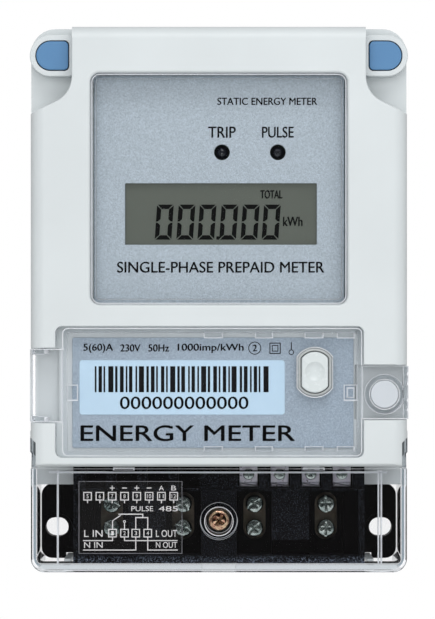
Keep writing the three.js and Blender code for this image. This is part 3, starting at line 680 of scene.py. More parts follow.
def notch_outline(side):
    """The stepped-back corner beside the raised face, as a function of how far it is inset."""

    def outline(inset):
        right, top = HALF_WIDTH + 2, TOP + 2
        turn = arc(NOTCH_X + NOTCH_R, NOTCH_ARC_TOP, NOTCH_R - inset, math.pi, NOTCH_TURN, 14)
        end_x, end_z = turn[-1]
        low = end_z - (right - end_x) / math.tan(NOTCH_TURN)
        return on_side(side, [(NOTCH_X + inset, top), *turn, (right, low), (right, top)])

    return outline


def lean(inset, extra):
    """An inset with a little more or less draft than the rest."""
    return inset + extra * min(1, inset / DRAFT)


def cover_outline(inset):
    """The front cover's outline. Its sides lean in most, and its lower edge is hardly rounded."""
    r = CORNER_R - inset * 0.6
    half = HALF_WIDTH - lean(inset, SIDE_LEAN)
    low = COVER_BOTTOM + inset * 0.28
    return rounded(-half, half, low, TOP - lean(inset, END_LEAN), r, 0.9)


def hollow_outline(inset):
    """The outline of the hollow behind the front cover's face."""
    half, r = HOLLOW_X - inset, HOLLOW_R - inset * 0.6
    return rounded(-half, half, HOLLOW_LOW, TOP - WALL - inset, r, 0.9)


def clear_outline(inset):
    """The terminal cover's outline, matching the front cover's sides."""
    half = HALF_WIDTH - lean(inset, SIDE_LEAN)
    return rounded(-half, half, BOTTOM + lean(inset, END_LEAN), CLEAR_TOP + 10, 2, 4)


def crown(d0, d1, r, steps=10):
    """Rings of a wall that leans in a little and turns over a rounded front edge."""
    return [(d0, 0), *turnover(d1, r, DRAFT, steps)]


def clip_recess(side):
    """Where an arm of the terminal cover clips into the side of the front cover."""
    inner, outer = CLIP_RECESS_X, HALF_WIDTH + 4
    points = [(inner, -60), (outer, -60), (outer, -38.4), (HALF_WIDTH, -39.4), (inner, -41.8)]
    return prism(on_side(side, points), COVER_BACK - 1, FRONT + 1)


def front_cover():
    """The front half of the case, with its window, door recess and corner seal pockets."""
    outer = loft(cover_outline, crown(COVER_BACK, FRONT, CROWN_R))
    inner = loft(hollow_outline, crown(COVER_BACK - 1, FRONT - WALL, CROWN_R - WALL, 4))
    for side in (-1, 1):
        cut(outer, loft(notch_outline(side), mouth(SHOULDER_D, FRONT, 0.4)))
        cut(inner, prism(notch_outline(side)(-WALL), SHOULDER_D - WALL, FRONT))
    shell = cut(outer, inner)
    x0, x1, z0, z1, _ = DOOR
    backing = 2.3
    keep = [
        box(
            x0 - DOOR_GAP - 2, x1 + backing, COVER_BOTTOM + 1, z1 + backing,
            DOOR_FLOOR - WALL, FRONT - 0.9,
        ),
        box(-54.6, -45.6, HINGE_Z[0] - backing, HINGE_Z[1] + backing, 47.3, 53.2),
        box(40, 54.6, SEAL_TAB[2] - backing, SEAL_TAB[3] + backing, 48, 53.2),
    ]
    for left, right in ((51.4, 55.2), (-55.2, -51.4)):
        keep.append(box(left, right, COVER_BOTTOM + 0.2, -38.4, COVER_BACK, 53))
    ledge = prism(rounded(-39.6, 39.6, -3.6, 68.2, 2), 49.3, 52.2)
    keep.append(cut(ledge, prism(rounded(*shrunk(NAMEPLATE, -0.15), 1.1), 48, 53)))
    join(shell, *keep)
    for side in (-1, 1):
        join(shell, loft(seal_outline(side, 1.9), eased(SHOULDER_D - 1.5, 50, 0.35)))
    window = rounded(*WINDOW)
    recess = rounded(x0 - DOOR_GAP, x1 + 0.35, z0 - 0.35, z1 + 0.35, 1.9)
    cutters = [
        loft(window, mouth(50, FRONT, 0.8)),
        loft(recess, mouth(DOOR_FLOOR, FRONT, 0.4)),
        hinge_cutter(),
        loft(rounded(x1 - 2, 60, SEAL_TAB[2] - 0.3, SEAL_TAB[3] + 0.3, 0.3), mouth(50, FRONT, 0.35)),
        disc(SEAL_X, SEAL_Z, 2.3, 44, 51),
        clip_recess(-1),
        clip_recess(1),
        box(-BLOCK_GAP_X, BLOCK_GAP_X, COVER_BOTTOM - 1, COVER_BOTTOM + 3, COVER_BACK - 1, 44.8),
        prism(button_outline(0.3), 48, FRONT),
    ]
    for side in (-1, 1):
        cutters.append(loft(seal_outline(side, 0.25), mouth(40.2, 50, 0.25)))
    cut(shell, *cutters)
    collar = loft(button_outline(1.1), eased(DOOR_FLOOR, COLLAR_D, 0.8))
    cut(collar, loft(button_outline(0.25), mouth(48, COLLAR_D, 0.15)))
    # The collar is part of the case-grey moulding; its darker material is painted shade.
    finish_piece(smooth(collar), "button_collar", "case", "case_grey", material="collar")
    finish_piece(smooth(shell, angle=28), "front_cover_shell", "case", "case_grey", "front_cover")


def hinge_cutter():
    """Room for the door's rolled hinge edge, open to the side and the front."""
    low, high = HINGE_Z[0] - 0.3, HINGE_Z[1] + 0.3
    return loft(rounded(-60, DOOR[0] - 1, low, high, 0.3), mouth(49.3, FRONT, 0.35))


# ---- Case ----

def base_shell():
    """The rear half of the case, with the hanger's guide and the feet beside the terminals."""
    half, top, low = HALF_WIDTH, TOP, BASE_BOTTOM
    foot_low, foot_top, block_x, back = -79.2, -77.6, 43, 2.2
    shell = loft(rounded(-half, half, low, top, CORNER_R, 2), eased(0, BASE_RIM, 0.3, 1))
    inside, above = (
        rounded(-HOLLOW_X, HOLLOW_X, z, top - WALL, HOLLOW_R, 2) for z in (low + WALL, HOLLOW_LOW)
    )
    cut(shell, prism(inside, back, BASE_RIM - WALL), prism(above, 22, 27))
    solids = [
        box(-block_x, block_x, foot_low, low + 1, 0, back),
        box(-14.3, 14.3, 48, 79, 0.5, 5.5),
    ]
    for side in (-1, 1):
        for inner, front in ((42, back), (44.4, 27)):
            left, right = sorted((side * inner, side * 46.4))
            solids.append(box(left, right, foot_low, foot_top, 0, front))
        solids.append(disc(side * CORNER_SEAL_X, CORNER_SEAL_Z, 4.6, 1, BASE_RIM))
        for z in (57, -34):
            solids.append(disc(side * 42, z, 2.6, 1, 35.7, 24))
    join(shell, *solids)
    cutters = [
        box(-BLOCK_GAP_X, BLOCK_GAP_X, low - 1, -45, back, 27),
        box(-10, 10, 50, 81, -1, 3.5),
        box(-12.3, 12.3, 50, 81, 1.2, 3.5),
    ]
    for side in (-1, 1):
        cutters.append(disc(side * CORNER_SEAL_X, CORNER_SEAL_Z, 1.8, 8, 27, 24))
        for z in (30, 0, -30):
            cutters.append(disc(side * 36, z, 3, -1, 0.6, 32))
    cut(shell, *cutters)
    smooth(shell, bevel=0.12, dissolve=True)
    finish_piece(shell, "base_shell_body", "case", "case_grey", "base_shell")


def case_gasket():
    """The rubber ring between the case halves, open at the terminal block."""
    ring = slab(-55.5, 55.5, -47.1, 79.5, 6.9, 25.65, 26.35, 1.5, 0.1)
    cut(
        ring,
        prism(rounded(-54.4, 54.4, -46, 78.4, 5.8, 1), 25, 27),
        box(-BLOCK_GAP_X, BLOCK_GAP_X, -49, -45, 25, 27),
    )
    finish_piece(smooth(ring), "case_gasket_ring", "case", "rubber_grey", "case_gasket")


def window_pane():
    """The clear window, held behind the front wall by its flange."""
    sides = shrunk(WINDOW, 0.3)
    pane = slab(*sides, 2.5, 52.4, 57.3, front_r=0.4)
    flange = prism(rounded(*shrunk(sides, -2.1), 3), 54.4, 55.6)
    cut(join(pane, flange), slab(*shrunk(sides, 1.3), 1.2, 51, 55.3))
    clear_piece(pane, "window_pane_glass", "case", "window_pane", 0.22)


def upper_nameplate():
    plate = slab(*NAMEPLATE, NAMEPLATE_D - 1, NAMEPLATE_D, front_r=0.15)
    opening = loft(rounded(*DISPLAY, 0.25), mouth(48, NAMEPLATE_D, 0.15))
    holes = [
        loft(circle(x, LAMP_Z, LAMP_HOLE_R), mouth(48, NAMEPLATE_D, 0.12)) for x in LAMP_X.values()
    ]
    cut(plate, opening, *holes)
    finish_piece(smooth(plate), "nameplate_panel", "case", "panel_silver", "upper_nameplate")


def lamp(node, x):
    """A dark lens with a domed top in its blackened hole."""
    r = 1.95
    foot_r, foot_back, foot_front, dome = 2.4, 37.9, 38.9, 47
    profile = [(0, foot_back), (foot_r, foot_back), (foot_r, foot_front), (r, foot_front)]
    profile += arc(0, dome, r, 0, QUARTER, 8)[:-1] + [(0, dome + r)]
    finish_piece(smooth(revolve(profile, x, LAMP_Z)), f"{node}_lens", "case", "led_dark", node)
    sleeve = cut(disc(x, LAMP_Z, LAMP_HOLE_R + 0.5, 46.8, 49.15), disc(x, LAMP_Z, LAMP_HOLE_R, 46, 50))
    finish_piece(smooth(sleeve), f"{node}_sleeve", "case", "led_dark", material="block_black")


def lcd():
    """The display, with its lit digits and marks."""
    glass = slab(*shrunk(DISPLAY, -2), 0.4, 46.4, LCD_D, front_r=0.1)
    finish_piece(smooth(glass), "lcd_cell", "case", "lcd", "lcd_glass")
    low = 17.6
    shapes = [slab(-0.75, 0.15, low, low + 1, 0.2, SEGMENT_D, SEGMENT_D + SEGMENT, front_r=0.01)]
    shapes += words(SEGMENT_D, 0.09, ("kWh", 18.9, 24.5, 21.6, 24.3))
    shapes += words(SEGMENT_D, 0.1, ("TOTAL", 12.2, 18.6, 29.7, 32.1))
    for left in (-18.5, -12.15, -5.95, 0.45, 6.7, 12.9):
        shapes += digit_zero(left, low, 4.9, 10.3)
    printed(shapes, "lcd_digits", "lcd", "lcd_segment")


def digit_zero(left, low, width, height):
    """The six lit segments of a leaning figure 0, with the gaps between them."""
    stroke, gap, lean = 1.3, 0.15, 0.07
    right, top, middle = left + width, low + height, low + height / 2
    half = stroke / 2
    upper = [
        (left, middle + gap), (left + half, middle + gap + 0.1), (left + stroke, middle + stroke * 0.7),
        (left + stroke, top - stroke - gap), (left, top - gap * 1.6),
    ]
    cap = [
        (left + gap * 1.6, top), (left + stroke + gap, top - stroke),
        (right - stroke - gap, top - stroke), (right - gap * 1.6, top),
    ]
    made = []
    for outline, flip_x, flip_z in (
        (upper, 0, 0), (upper, 0, 1), (upper, 1, 0), (upper, 1, 1), (cap, 0, 0), (cap, 0, 1),
    ):
        points = [(left + right - x if flip_x else x, low + top - z if flip_z else z) for x, z in outline]
        leaning = [(x + (z - low) * lean - 0.35, z) for x, z in points]
        made.append(flat_shape(leaning, SEGMENT_D, SEGMENT))
    return made


def seal_cap(name, side):
    """A blue corner seal, eased round its edge."""
    cap = loft(seal_outline(side), eased(43.2, 50.3, 0.35))
    finish_piece(smooth(cap), f"{name}_plug", "case", "seal_blue", name)


# ---- Lettering and printed marks ----

def flat_shape(outline, depth, thick=INK):
    """A thin printed shape, whichever way round its outline is drawn."""
    area = sum(x0 * z1 - x1 * z0 for (x0, z0), (x1, z1) in zip(outline, outline[1:] + outline[:1]))
    return prism(outline if area > 0 else outline[::-1], depth, depth + thick)


def bar(x0, x1, z0, z1, depth):
    return flat_shape([(x0, z0), (x1, z0), (x1, z1), (x0, z1)], depth)


def frame_shape(x0, x1, z0, z1, line, depth):
    """A printed rectangle drawn with a line."""
    return [
        bar(x0, x1, z0, z0 + line, depth),
        bar(x0, x1, z1 - line, z1, depth),
        bar(x0, x0 + line, z0 + line, z1 - line, depth),
        bar(x1 - line, x1, z0 + line, z1 - line, depth),
    ]


def ring_shape(x, z, r, line, depth):
    return cut(disc(x, z, r, depth, depth + INK), disc(x, z, r - line, depth - 1, depth + 1))


def lettering(words, x0, x1, z0, z1, depth, weight=0.0):
    """Printed words stretched to fill a box."""
    curve = bpy.data.curves.new("words", "FONT")
    curve.body = words
    curve.extrude = 0.01
    curve.resolution_u = 6
    source = add_object("words", curve)
    mesh = evaluated_mesh(source)
    bpy.data.objects.remove(source)
    xs = [v.co.x for v in mesh.vertices]
    ys = [v.co.y for v in mesh.vertices]
    width, height = max(xs) - min(xs), max(ys) - min(ys)
    points, faces = [], []
    for shift in (-weight, weight) if weight else (0,):
        start = len(points)
        for v in mesh.vertices:
            x = x0 + (v.co.x - min(xs)) / width * (x1 - x0) + shift
            z = z0 + (v.co.y - min(ys)) / height * (z1 - z0) + shift * 0.6
            points.append((x, -depth - (INK if v.co.z > 0 else 0), z))
        faces += [tuple(start + i for i in p.vertices) for p in mesh.polygons]
    return mesh_piece("words", points, faces)


def words(depth, weight, *rows):
    """Printed words, each given with the box it fills."""
    return [lettering(text, *place, depth, weight) for text, *place in rows]


def printed(shapes, name, slot, ink="ink_black", body="case"):
    finish_piece(merge(shapes), name, body, slot, material=ink)


def merge(pieces):
    """Gathers several pieces into one mesh without joining their surfaces."""
    points, faces = [], []
    for piece in pieces:
        start = len(points)
        points += [tuple(c / MM for c in v.co) for v in piece.data.vertices]
        faces += [tuple(start + i for i in p.vertices) for p in piece.data.polygons]
        bpy.data.objects.remove(piece)
    return mesh_piece("print", points, faces)


def upper_print():
    """The printing on the upper nameplate."""
    d = NAMEPLATE_D + INK_GAP
    shapes = words(d, 0.06, ("STATIC ENERGY METER", -0.4, 28.8, 57.1, 59.2))
    shapes += words(d, 0.07, ("SINGLE-PHASE PREPAID METER", -29.8, 30.9, 7.9, 11.1))
    for word, half, x in zip(("TRIP", "PULSE"), (4, 4.6), LAMP_X.values()):
        shapes += words(d, 0.07, (word, *around(x, 49.1, half, 1.6)))
    printed(shapes, "nameplate_print", "panel_silver")


def lower_print():
    """The ratings, symbols and name on the lower nameplate."""
    d = LOWER_PLATE_D + INK_GAP
    shapes = words(
        d, 0.08, ("5(60)A", -39.6, -31, -15.6, -12.9), ("230V", -28.8, -23, -15.2, -13.1),
        ("50Hz", -20.6, -14.6, -15.2, -13.1), ("1000imp/kWh", -12, 7.2, -15.6, -12.9),
        ("2", 9.9, 11.1, -15.1, -13.2),
    )
    shapes += words(d, 0.1, ("ENERGY METER", -40.4, 22.2, -41.4, -36.8))
    shapes += [ring_shape(10.5, -14.2, 1.9, 0.25, d), ring_shape(21.2, -15.4, 0.8, 0.25, d)]
    shapes.append(bar(21.05, 21.35, -14.7, -12.4, d))
    shapes += frame_shape(14.8, 18.1, -15.9, -12.6, 0.28, d)
    shapes += frame_shape(15.5, 17.4, -15.2, -13.3, 0.25, d)
    printed(shapes, "lower_nameplate_print", "panel_slate")


def label_print():
    """Plain bars that carry no code, over a row of noughts."""
    d = LABEL_D + INK_GAP
    shapes = words(d, 0.06, ("000000000000", -28.9, 8.6, -32, -28.4))
    widths, gaps = (0.5, 1.0, 0.5, 1.5, 0.7, 1.1), (0.6, 0.45, 0.9, 0.5, 0.7)
    x, n, end = -36.3, 0, 15.3
    while x < end - 0.3:
        wide = widths[n % len(widths)]
        shapes.append(bar(x, min(x + wide, end), -27.1, -19.5, d))
        x += wide + gaps[n % len(gaps)]
        n += 1
    printed(shapes, "label_print", "label_blue")


def wiring_print():
    """The terminal diagram printed in white on the clear cover's label."""
    d = DIAGRAM_FRONT + INK_GAP
    line = 0.28
    shapes = []

    def terminal(number, x, z, digit_half):
        half = 1.25
        shapes.extend(frame_shape(*around(x, z, half, half), line, d))
        shapes.append(lettering(str(number), *around(x, z, digit_half, 0.6), d))
        return z - half, z + half

    def wire_up(x, z0, z1):
        shapes.append(bar(x - line / 2, x + line / 2, z0, z1, d))

    def wire_across(x0, x1, z0, z1):
        shapes.append(bar(x0 - line / 2, x1 + line / 2, z0, z1, d))

    marks_z = -55.1
    for n, mark in enumerate(("", "", "+", "-", "+", "-", "A", "B")):
        x = -38.4 + 3.6 * n
        low, _ = terminal(n + 5, x, -57.5, 0.3 if n < 5 else 0.62)
        wire_up(x, low - 0.8, low)
        if mark:
            shapes.append(lettering(mark, *around(x, marks_z, 0.7, 0.14 if mark == "-" else 0.7), d))
    live_z, neutral_z, bridge_z = -70.35, -73.1, -63.9
    mains = (-31.1, -27.6, -24.3, -20.8)
    for n, (x, z) in enumerate(zip(mains, (live_z, live_z, neutral_z, neutral_z))):
        low, top = terminal(n + 1, x, -68.3, 0.35)
        wire_up(x, z, low)
    left, right = -39.6, -12.2
    live_in, live_out, neutral_in, neutral_out = mains
    for x0, x1, z in (
        (left, live_in, live_z), (live_out, right, live_z),
        (left, neutral_in, neutral_z), (neutral_out, right, neutral_z),
    ):
        wire_across(x0, x1, z - line, z)
    wire_up(neutral_in, top, bridge_z)
    wire_up(neutral_out, top, bridge_z)
    wire_across(neutral_in, neutral_out, bridge_z, -63.6)
    wire_up(live_in, top, -64.6)
    wire_up(live_out, top, -65.2)
    shapes += [
        bar(-22.4, -22.1, -63.6, -62.9, d),
        bar(-29.4, -22.1, -62.9, -62.6, d),
        flat_shape([(-31.2, -64.6), (-30.9, -64.7), (-28.6, -63.2), (-28.8, -63)], d),
        ring_shape(live_out, -64.9, 0.4, 0.2, d),
    ]
    shapes += words(
        d, 0, ("PULSE", -25.6, -19.2, -61.9, -60.4), ("485", -17.6, -12, -61.9, -60.4),
        ("L IN", -39.4, -34, -69.4, -67.4), ("N IN", -39.4, -34, -72.6, -70.9),
        ("L OUT", -18.4, right, -69.4, -67.4), ("N OUT", -18.4, right, -72.6, -70.9),
    )
    printed(shapes, "wiring_print", "film", "ink_white", "terminal_cover")
    edge = frame_shape(*DIAGRAM, 0.16, DIAGRAM_BACK)
    printed(edge, "wiring_label_edge", "film", "label_edge", "terminal_cover")


# ---- Lower nameplate, button and flip door ----

def button_outline(grow=0.0):
    """Straight sides and broad round ends."""
    half_w, half_h = BUTTON_W / 2 + grow, BUTTON_H / 2 + grow
    r = 4.9 + grow
    centre = half_h - r
    sweep = math.asin(half_w / r)
    points = []
    for sign in (1, -1):
        points += arc(BUTTON_X, BUTTON_Z + sign * centre, r, sign * QUARTER - sweep, 2 * sweep, 16)
    return points


def lower_nameplate():
    plate = slab(*LOWER_PLATE, DOOR_FLOOR + 0.1, LOWER_PLATE_D, front_r=0.1)
    cut(plate, loft(button_outline(1.4), mouth(50, LOWER_PLATE_D, 0.1)))
    finish_piece(smooth(plate), "lower_nameplate_panel", "case", "panel_slate", "lower_nameplate")
    label = slab(*LABEL, LABEL_D - 0.15, LABEL_D, front_r=0.14)
    finish_piece(smooth(label), "barcode_label_face", "case", "label_blue", "barcode_label")


def page_button():
    """The off-white push button with a dished face."""
    key = loft(button_outline(), eased(47.4, 57.2, 0.55, steps=6))
    stem = disc(BUTTON_X, BUTTON_Z, 2, 42, 46.8)
    join(key, prism(button_outline(1.2), 46.4, 48), stem)
    sphere_r, centre_d = 4.6, 60.8
    dish = [(0, centre_d - sphere_r), *arc(0, centre_d, sphere_r, -QUARTER, QUARTER, 12)[1:]]
    cut(key, revolve(dish, BUTTON_X, BUTTON_Z + 0.2, 64))
    finish_piece(smooth(key), "page_button_key", "button", "white_plastic", "page_button")


def hinge_wrap():
    """The door's rolled hinge edge, drawn in X and depth."""
    outer, inner = (
        arc(HINGE_X, HINGE_D, r, QUARTER, QUARTER + 0.35, 20) for r in (HINGE_R, HINGE_R - DOOR_WALL)
    )
    return outer + inner[::-1]


def hinge_rod(r, z0, z1):
    return upright(circle(HINGE_X, HINGE_D, r, 32), z0, z1)


def flip_door():
    """The clear flip door: a shallow tray with a rolled hinge, catches and a sealing boss."""
    x0, x1, z0, z1, _ = DOOR
    z_low, z_high = HINGE_Z
    wall = DOOR_WALL
    tray = slab(*DOOR, 52.7, DOOR_FRONT, front_r=0.5)
    cut(tray, slab(*shrunk(DOOR, wall), 0.5, 51, DOOR_FRONT - wall))
    _, tab_right, tab_low, tab_high, _ = SEAL_TAB
    catch = (53.2, DOOR_FRONT - 1)
    parts = [
        upright(hinge_wrap(), z_low, z_high),
        box(HINGE_X, x0 + 1, z_low, z_high, DOOR_FRONT - wall, DOOR_FRONT),
        hinge_rod(2.2, z_low, z_low + 1.5),
        hinge_rod(2.2, z_high - 1.5, z_high),
        hinge_rod(1.1, z_low - 1.6, z_low + 1),
        hinge_rod(1.1, z_high - 1, z_high + 1.6),
        box(x1 - 1, tab_right, tab_low, tab_high, DOOR_FRONT - wall, DOOR_FRONT),
        box(tab_right - wall, tab_right, tab_low, tab_high, 50.3, DOOR_FRONT - 0.3),
        disc(SEAL_X, SEAL_Z, 5.7, 50.5, DOOR_FRONT),
        box(x0 + 1, x0 + 4.4, -29.4, -25, *catch),
        box(36.6, x1 - 1, -29.4, -25, *catch),
    ]
    for left, right in ((-4.2, 1), (10.7, 15.6), (25.2, 30.3), (34.6, 39.4)):
        parts.append(box(left, right, z1 - wall - 1.5, z1 - 1, *catch))
        parts.append(box(left, right, z0 + 1, z0 + wall + 1.3, *catch))
    join(tray, *parts)
    cutters = [
        disc(SEAL_X, SEAL_Z, 1.9, 50, 52),
        disc(SEAL_X, SEAL_Z, 4.3, 51.7, FRONT + 1),
        prism(button_outline(1.2), 55, FRONT + 1),
        box(37.5, x1 - 2.4, -28.6, -25.8, 52, DOOR_FRONT - 1.6),
    ]
    for z in (-32.2, -29.4, -24.6, -21.8):
        cutters.append(box(tab_right - 0.5, tab_right + 1, z - 0.5, z + 0.5, 50, DOOR_FRONT - wall))
    cut(tray, *cutters)
    clear_piece(tray, "flip_door_shell", "door", "flip_door", left=HINGE_X)
    cap = loft(circle(SEAL_X, SEAL_Z, 4.05, 64), eased(54.3, 57.2))
    finish_piece(smooth(cap), "door_seal_plug", "door", "seal_white", "door_seal_cap")


# ---- Screws ----

def screw(node, body, place, sizes, depths, metal="zinc", slotted=False, turn=0.0):
    """A plated machine screw with a rounded head, a cross recess and a threaded shank.

    The sizes are the head's and the shank's radius. The depths are those of the tip, and of the
    head's back and front.
    """
    head_r, shank_r = sizes
    tip, back, front = depths
    edge = 0.35 * head_r
    profile = [(0, tip), (shank_r * 0.7, tip)]
    pitch = max(0.5, shank_r * 0.42)
    d = tip + pitch / 2
    while d < back - pitch:
        profile += [(shank_r, d), (shank_r * 0.86, d + pitch / 2)]
        d += pitch
    profile += [(shank_r * 0.9, back), (head_r - 0.15, back), (head_r, back + 0.15)]
    for r, rise in arc(head_r - edge, 0, edge, 0, QUARTER, 5):
        profile.append((r, front - 0.15 - (edge - rise) / 2))
    profile.append((0, front))
    head = revolve(profile, 0, 0, 40)
    arm, width, sink = head_r * 0.62, head_r * 0.15, (front - back) * 0.55
    cross, tip_of_arm = [], [(arm, -width), (arm, width), (width, width)]
    for cos, sin in ((1, 0), (0, 1), (-1, 0), (0, -1)):
        cross += [(cos * x - sin * z, sin * x + cos * z) for x, z in tip_of_arm]
    cutters = [loft(cross, [(front - sink, width * 0.55), (front + 0.5, 0)])]
    if slotted:
        cutters.append(box(-head_r - 1, head_r + 1, -width, width, front - sink * 0.7, front + 1))
    cut(head, *cutters)
    head.data.transform(Matrix.Rotation(turn, 4, "Y"))
    head.data.transform(Matrix.Translation((place[0] * MM, 0, place[1] * MM)))
    finish_piece(smooth(head, bevel=0.05, angle=40), f"{node}_turned", body, metal, node)


def all_screws():
    turns = {"upper": (0.3, 0.9, 2.5, 1.5), "lower": (0.7, 0.4, 2.4, 1.6)}
    for n, x in enumerate(TERMINAL_X):
        for row, z in SCREW_ROWS.items():
            node = f"terminal_screw_{n + 1}_{row}"
            depths = (31.4, 35.4, 37.8)
            screw(node, node, (x, z), (2.6, 1.9), depths, slotted=True, turn=turns[row][n])
    for n, x in enumerate(AUX_X):
        node = f"aux_screw_{n + 1}"
        screw(node, node, (x, AUX_SCREW_Z), (1.65, 0.95), (36.3, 40.2, 41.8), turn=0.5 * n)
    depths = (33.4, 46.7, 49.6)
    screw("cover_screw", "cover_screw", (0, BOSS_Z), (2.95, 1.8), depths, "zinc_yellow", turn=0.6)
    screw("door_screw", "door", (SEAL_X, SEAL_Z), (3, 1.5), (46.8, 51.9, 53.9))
    for name, side in (("left", -1), ("right", 1)):
        place = (side * CORNER_SEAL_X, CORNER_SEAL_Z)
        screw(f"case_screw_{name}", "case", place, (3, 1.5), (12, 40.5, 42.7))


def aux_clamp(node, x):
    """A small contact plate, bent down and lipped at its lower end."""
    left, right = x - 2.65, x + 2.65
    plate = slab(left, right, -55.3, -47, 0.3, 39, 40, front_r=0.1)
    step = slab(left, right, -55.3, -54, 0.2, 39.2, 41, front_r=0.6)
    leg = slab(left, right, -50.5, -46.3, 0.2, 36.3, 39.2, front_r=0.05)
    join(plate, step, leg)
    cut(plate, disc(x, AUX_SCREW_Z, 1.2, 30, 45))
    finish_piece(smooth(plate, bevel=0.06), f"{node}_plate", "case", "nickel", node)


# ---- Terminal cover ----

def terminal_cover():
    """The clear cover over the terminals, with its ribs, clip arms and sealing boss."""
    half, low, top, beyond = HALF_WIDTH, BOTTOM, CLEAR_TOP, 60
    shell = loft(clear_outline, crown(0.6, COVER_FRONT, 1.2, 5))
    cut(shell, box(-beyond, beyond, top, top + 20, 0, FRONT))
    wall = CLEAR_WALL
    hollow = rounded(-half + wall, half - wall, low + wall, top + 20, 2, 2.5)
    inside, lean_in, corner = COVER_FRONT - wall, DRAFT + SIDE_LEAN, 0.3
    cut(shell, loft(hollow, [(0, 0), (inside - corner, lean_in), (inside, lean_in + corner)]))
    front, ledge_back, rib_back = COVER_FRONT - 1, 48, 50.4
    parts = [
        box(-49.6, 49.2, top - 1.3, top - 0.9, ledge_back, front),
        disc(0, BOSS_Z, BOSS_R, 44.8, COVER_FRONT - 0.5, 64),
    ]
    for left, right in ((-47.3, -46.9), (46.5, 46.8), (47.35, 47.65)):
        parts.append(box(left, right, low + 1, top - 0.6, rib_back, front))
    arm = [(53.9, -52.4), (55.2, -52.4), (55.2, -45.4), (55.6, -44.8), (55.6, -40.4), (53.9, -42)]
    for side in (-1, 1):
        left, right = sorted((side * 24.7, side * 30.9))
        tongue = box(left, right, top - 0.8, top + 0.25, rib_back, front)
        parts.append(cut(tongue, box(left + 0.3, right - 0.3, top - 0.5, top, 49, 52.5)))
        parts.append(prism(on_side(side, arm), 34, 46))
    join(shell, *parts)
    cut(
        shell,
        loft(circle(0, BOSS_Z, BOSS_BORE, 64), mouth(46.3, COVER_FRONT, 0.6)),
        disc(0, BOSS_Z, 2.3, 44, 48),
        box(-beyond, beyond, BASE_BOTTOM - 0.3, top + 1, -1, 26.8),
        box(-53.2, 53.2, low - 1, -77.4, -1, 34),
        box(-5, 5, low - 1, low + 3, 33, 37),
    )
    node = "terminal_cover"
    clear_piece(shell, f"{node}_shell", node, node, 0.08, (ledge_back, rib_back), (0.75, 0.98))


# ---- Parts kept from the CAD, with eased edges ----

KEPT_BY_BEVEL = {
    0: ["wiring_label"],
    0.1: ["cover_screw_insert", "main_board", "tact_switch"],
    0.15: [
        "hanger_clip", "terminal_block", "cover_screw_post", "metering_chip",
        "current_shunt", "relay_busbar", "neutral_link",
        *(f"terminal_clamp_{n + 1}" for n in range(len(TERMINAL_X))),
    ],
    0.2: ["lcd_backlight"],
    0.3: ["power_transformer"],
    0.4: ["latching_relay", "filter_capacitor"],
    0.5: ["backup_battery"],
    0.8: ["surge_varistor"],
}


def kept_parts():
    """Gives each part kept from the CAD its bevel and the material of its slot."""
    slots = {part["node"]: part["material_slot"] for part in frame["record"]["subparts"]}
    for bevel, nodes in KEPT_BY_BEVEL.items():
        for node in nodes:
            piece = frame["nodes"][node]
            piece.data.materials.clear()
            piece.data.materials.append(M[slots[node]])
            smooth(piece, bevel=bevel)


# ---- Camera, light and floor ----

def make_camera():
    data = bpy.data.cameras.new("camera")
    data.sensor_width = SENSOR
    data.lens = SENSOR * CAMERA_DISTANCE / VIEW_HEIGHT
    data.clip_start = 0.05
    data.clip_end = 30
    camera = add_object("camera", data)
    camera.location = (CAMERA_X * MM, -CAMERA_DISTANCE * MM, CAMERA_Z * MM)
    camera.rotation_euler = (QUARTER, 0, 0)
    bpy.context.scene.camera = camera


def softbox(name, place, size, power, gloss=True):
    """A rectangular light aimed at the meter."""
    data = bpy.data.lights.new(name, "AREA")
    data.shape = "RECTANGLE"
    data.size, data.size_y = (s * MM for s in size)
    data.energy = power
    lamp = add_object(name, data)
    lamp.location = Vector(place) * MM
    aim = Vector(LIGHT_TARGET) * MM - lamp.location
    lamp.rotation_euler = aim.to_track_quat("-Z", "Y").to_euler()
    lamp.visible_glossy = gloss
    lamp.visible_transmission = gloss


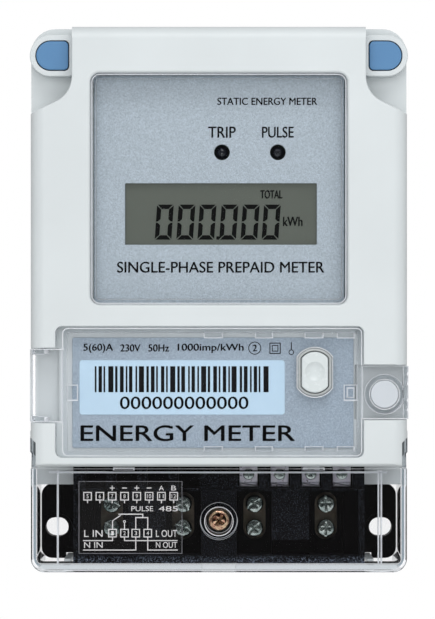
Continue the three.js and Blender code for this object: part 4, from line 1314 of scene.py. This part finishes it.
def make_world():
    """A white studio. What gloss reflects is dark towards the viewer and brighter all round."""
    world = bpy.data.worlds.new("studio")
    world.use_nodes = True
    bpy.context.scene.world = world
    tree = NodeTree(world.node_tree)
    maths = tree.maths
    path = tree.node("ShaderNodeLightPath").outputs
    axes = tree.node("ShaderNodeSeparateXYZ")
    tree.link(tree.node("ShaderNodeTexCoord").outputs["Generated"], axes.inputs[0])
    depth, transmitted, scattered = axes.outputs["Y"], path["Is Transmission Ray"], path["Is Diffuse Ray"]
    away = tree.remap(depth, GLOSS_FRONT, GLOSS_ROUND, *GLOSS_TURN, interpolation_type="SMOOTHSTEP")
    behind = maths("MULTIPLY", transmitted, maths("GREATER_THAN", depth, 0))
    through = maths("MULTIPLY", transmitted, GLOSS_THROUGH)
    seen = maths("MAXIMUM", path["Is Camera Ray"], behind)
    diffuse = maths("MULTIPLY", scattered, WORLD_FILL)
    other = maths("SUBTRACT", 1, maths("MAXIMUM", seen, scattered))
    gloss = maths("MULTIPLY", other, maths("MAXIMUM", away, through))
    background = tree.nodes["Background"].inputs
    tree.link(maths("ADD", maths("ADD", seen, diffuse), gloss), background["Strength"])
    background["Color"].default_value = (1, 1, 1, 1)


def make_floor():
    rim = circle(0, 0, FLOOR_R, 96)
    floor = mesh_piece("floor", [(x, -y, FLOOR_Z) for x, y in rim], [tuple(range(len(rim)))])
    s = Shader("floor_white", srgb(240, 240, 240), 0.7)
    s.tint(s.noise(6, 3), srgb(232, 232, 232), 0.5)
    floor.data.materials.append(s.material)
    floor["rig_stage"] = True


def make_stage():
    bpy.context.scene.view_settings.view_transform = "Standard"
    make_camera()
    make_world()
    make_floor()
    softbox("key", (120, -800, 950), (1000, 500), 6)
    softbox("front", (0, -1300, 120), (1200, 900), 10, gloss=False)
    softbox("under", (0, -500, -650), (900, 500), 2)


# ---- Build ----

make_stage()
base_shell()
case_gasket()
front_cover()
window_pane()
upper_nameplate()
upper_print()
for lamp_node, lamp_x in LAMP_X.items():
    lamp(lamp_node, lamp_x)
lcd()
seal_cap("seal_cap_left", -1)
seal_cap("seal_cap_right", 1)
lower_nameplate()
lower_print()
label_print()
page_button()
flip_door()
all_screws()
for aux_number, aux_x in enumerate(AUX_X):
    aux_clamp(f"aux_clamp_{aux_number + 1}", aux_x)
terminal_cover()
wiring_print()
kept_parts()

boxes = {"cad": cad_box, "visual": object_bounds()}
{k: [list(corner) for corner in v] for k, v in boxes.items()}
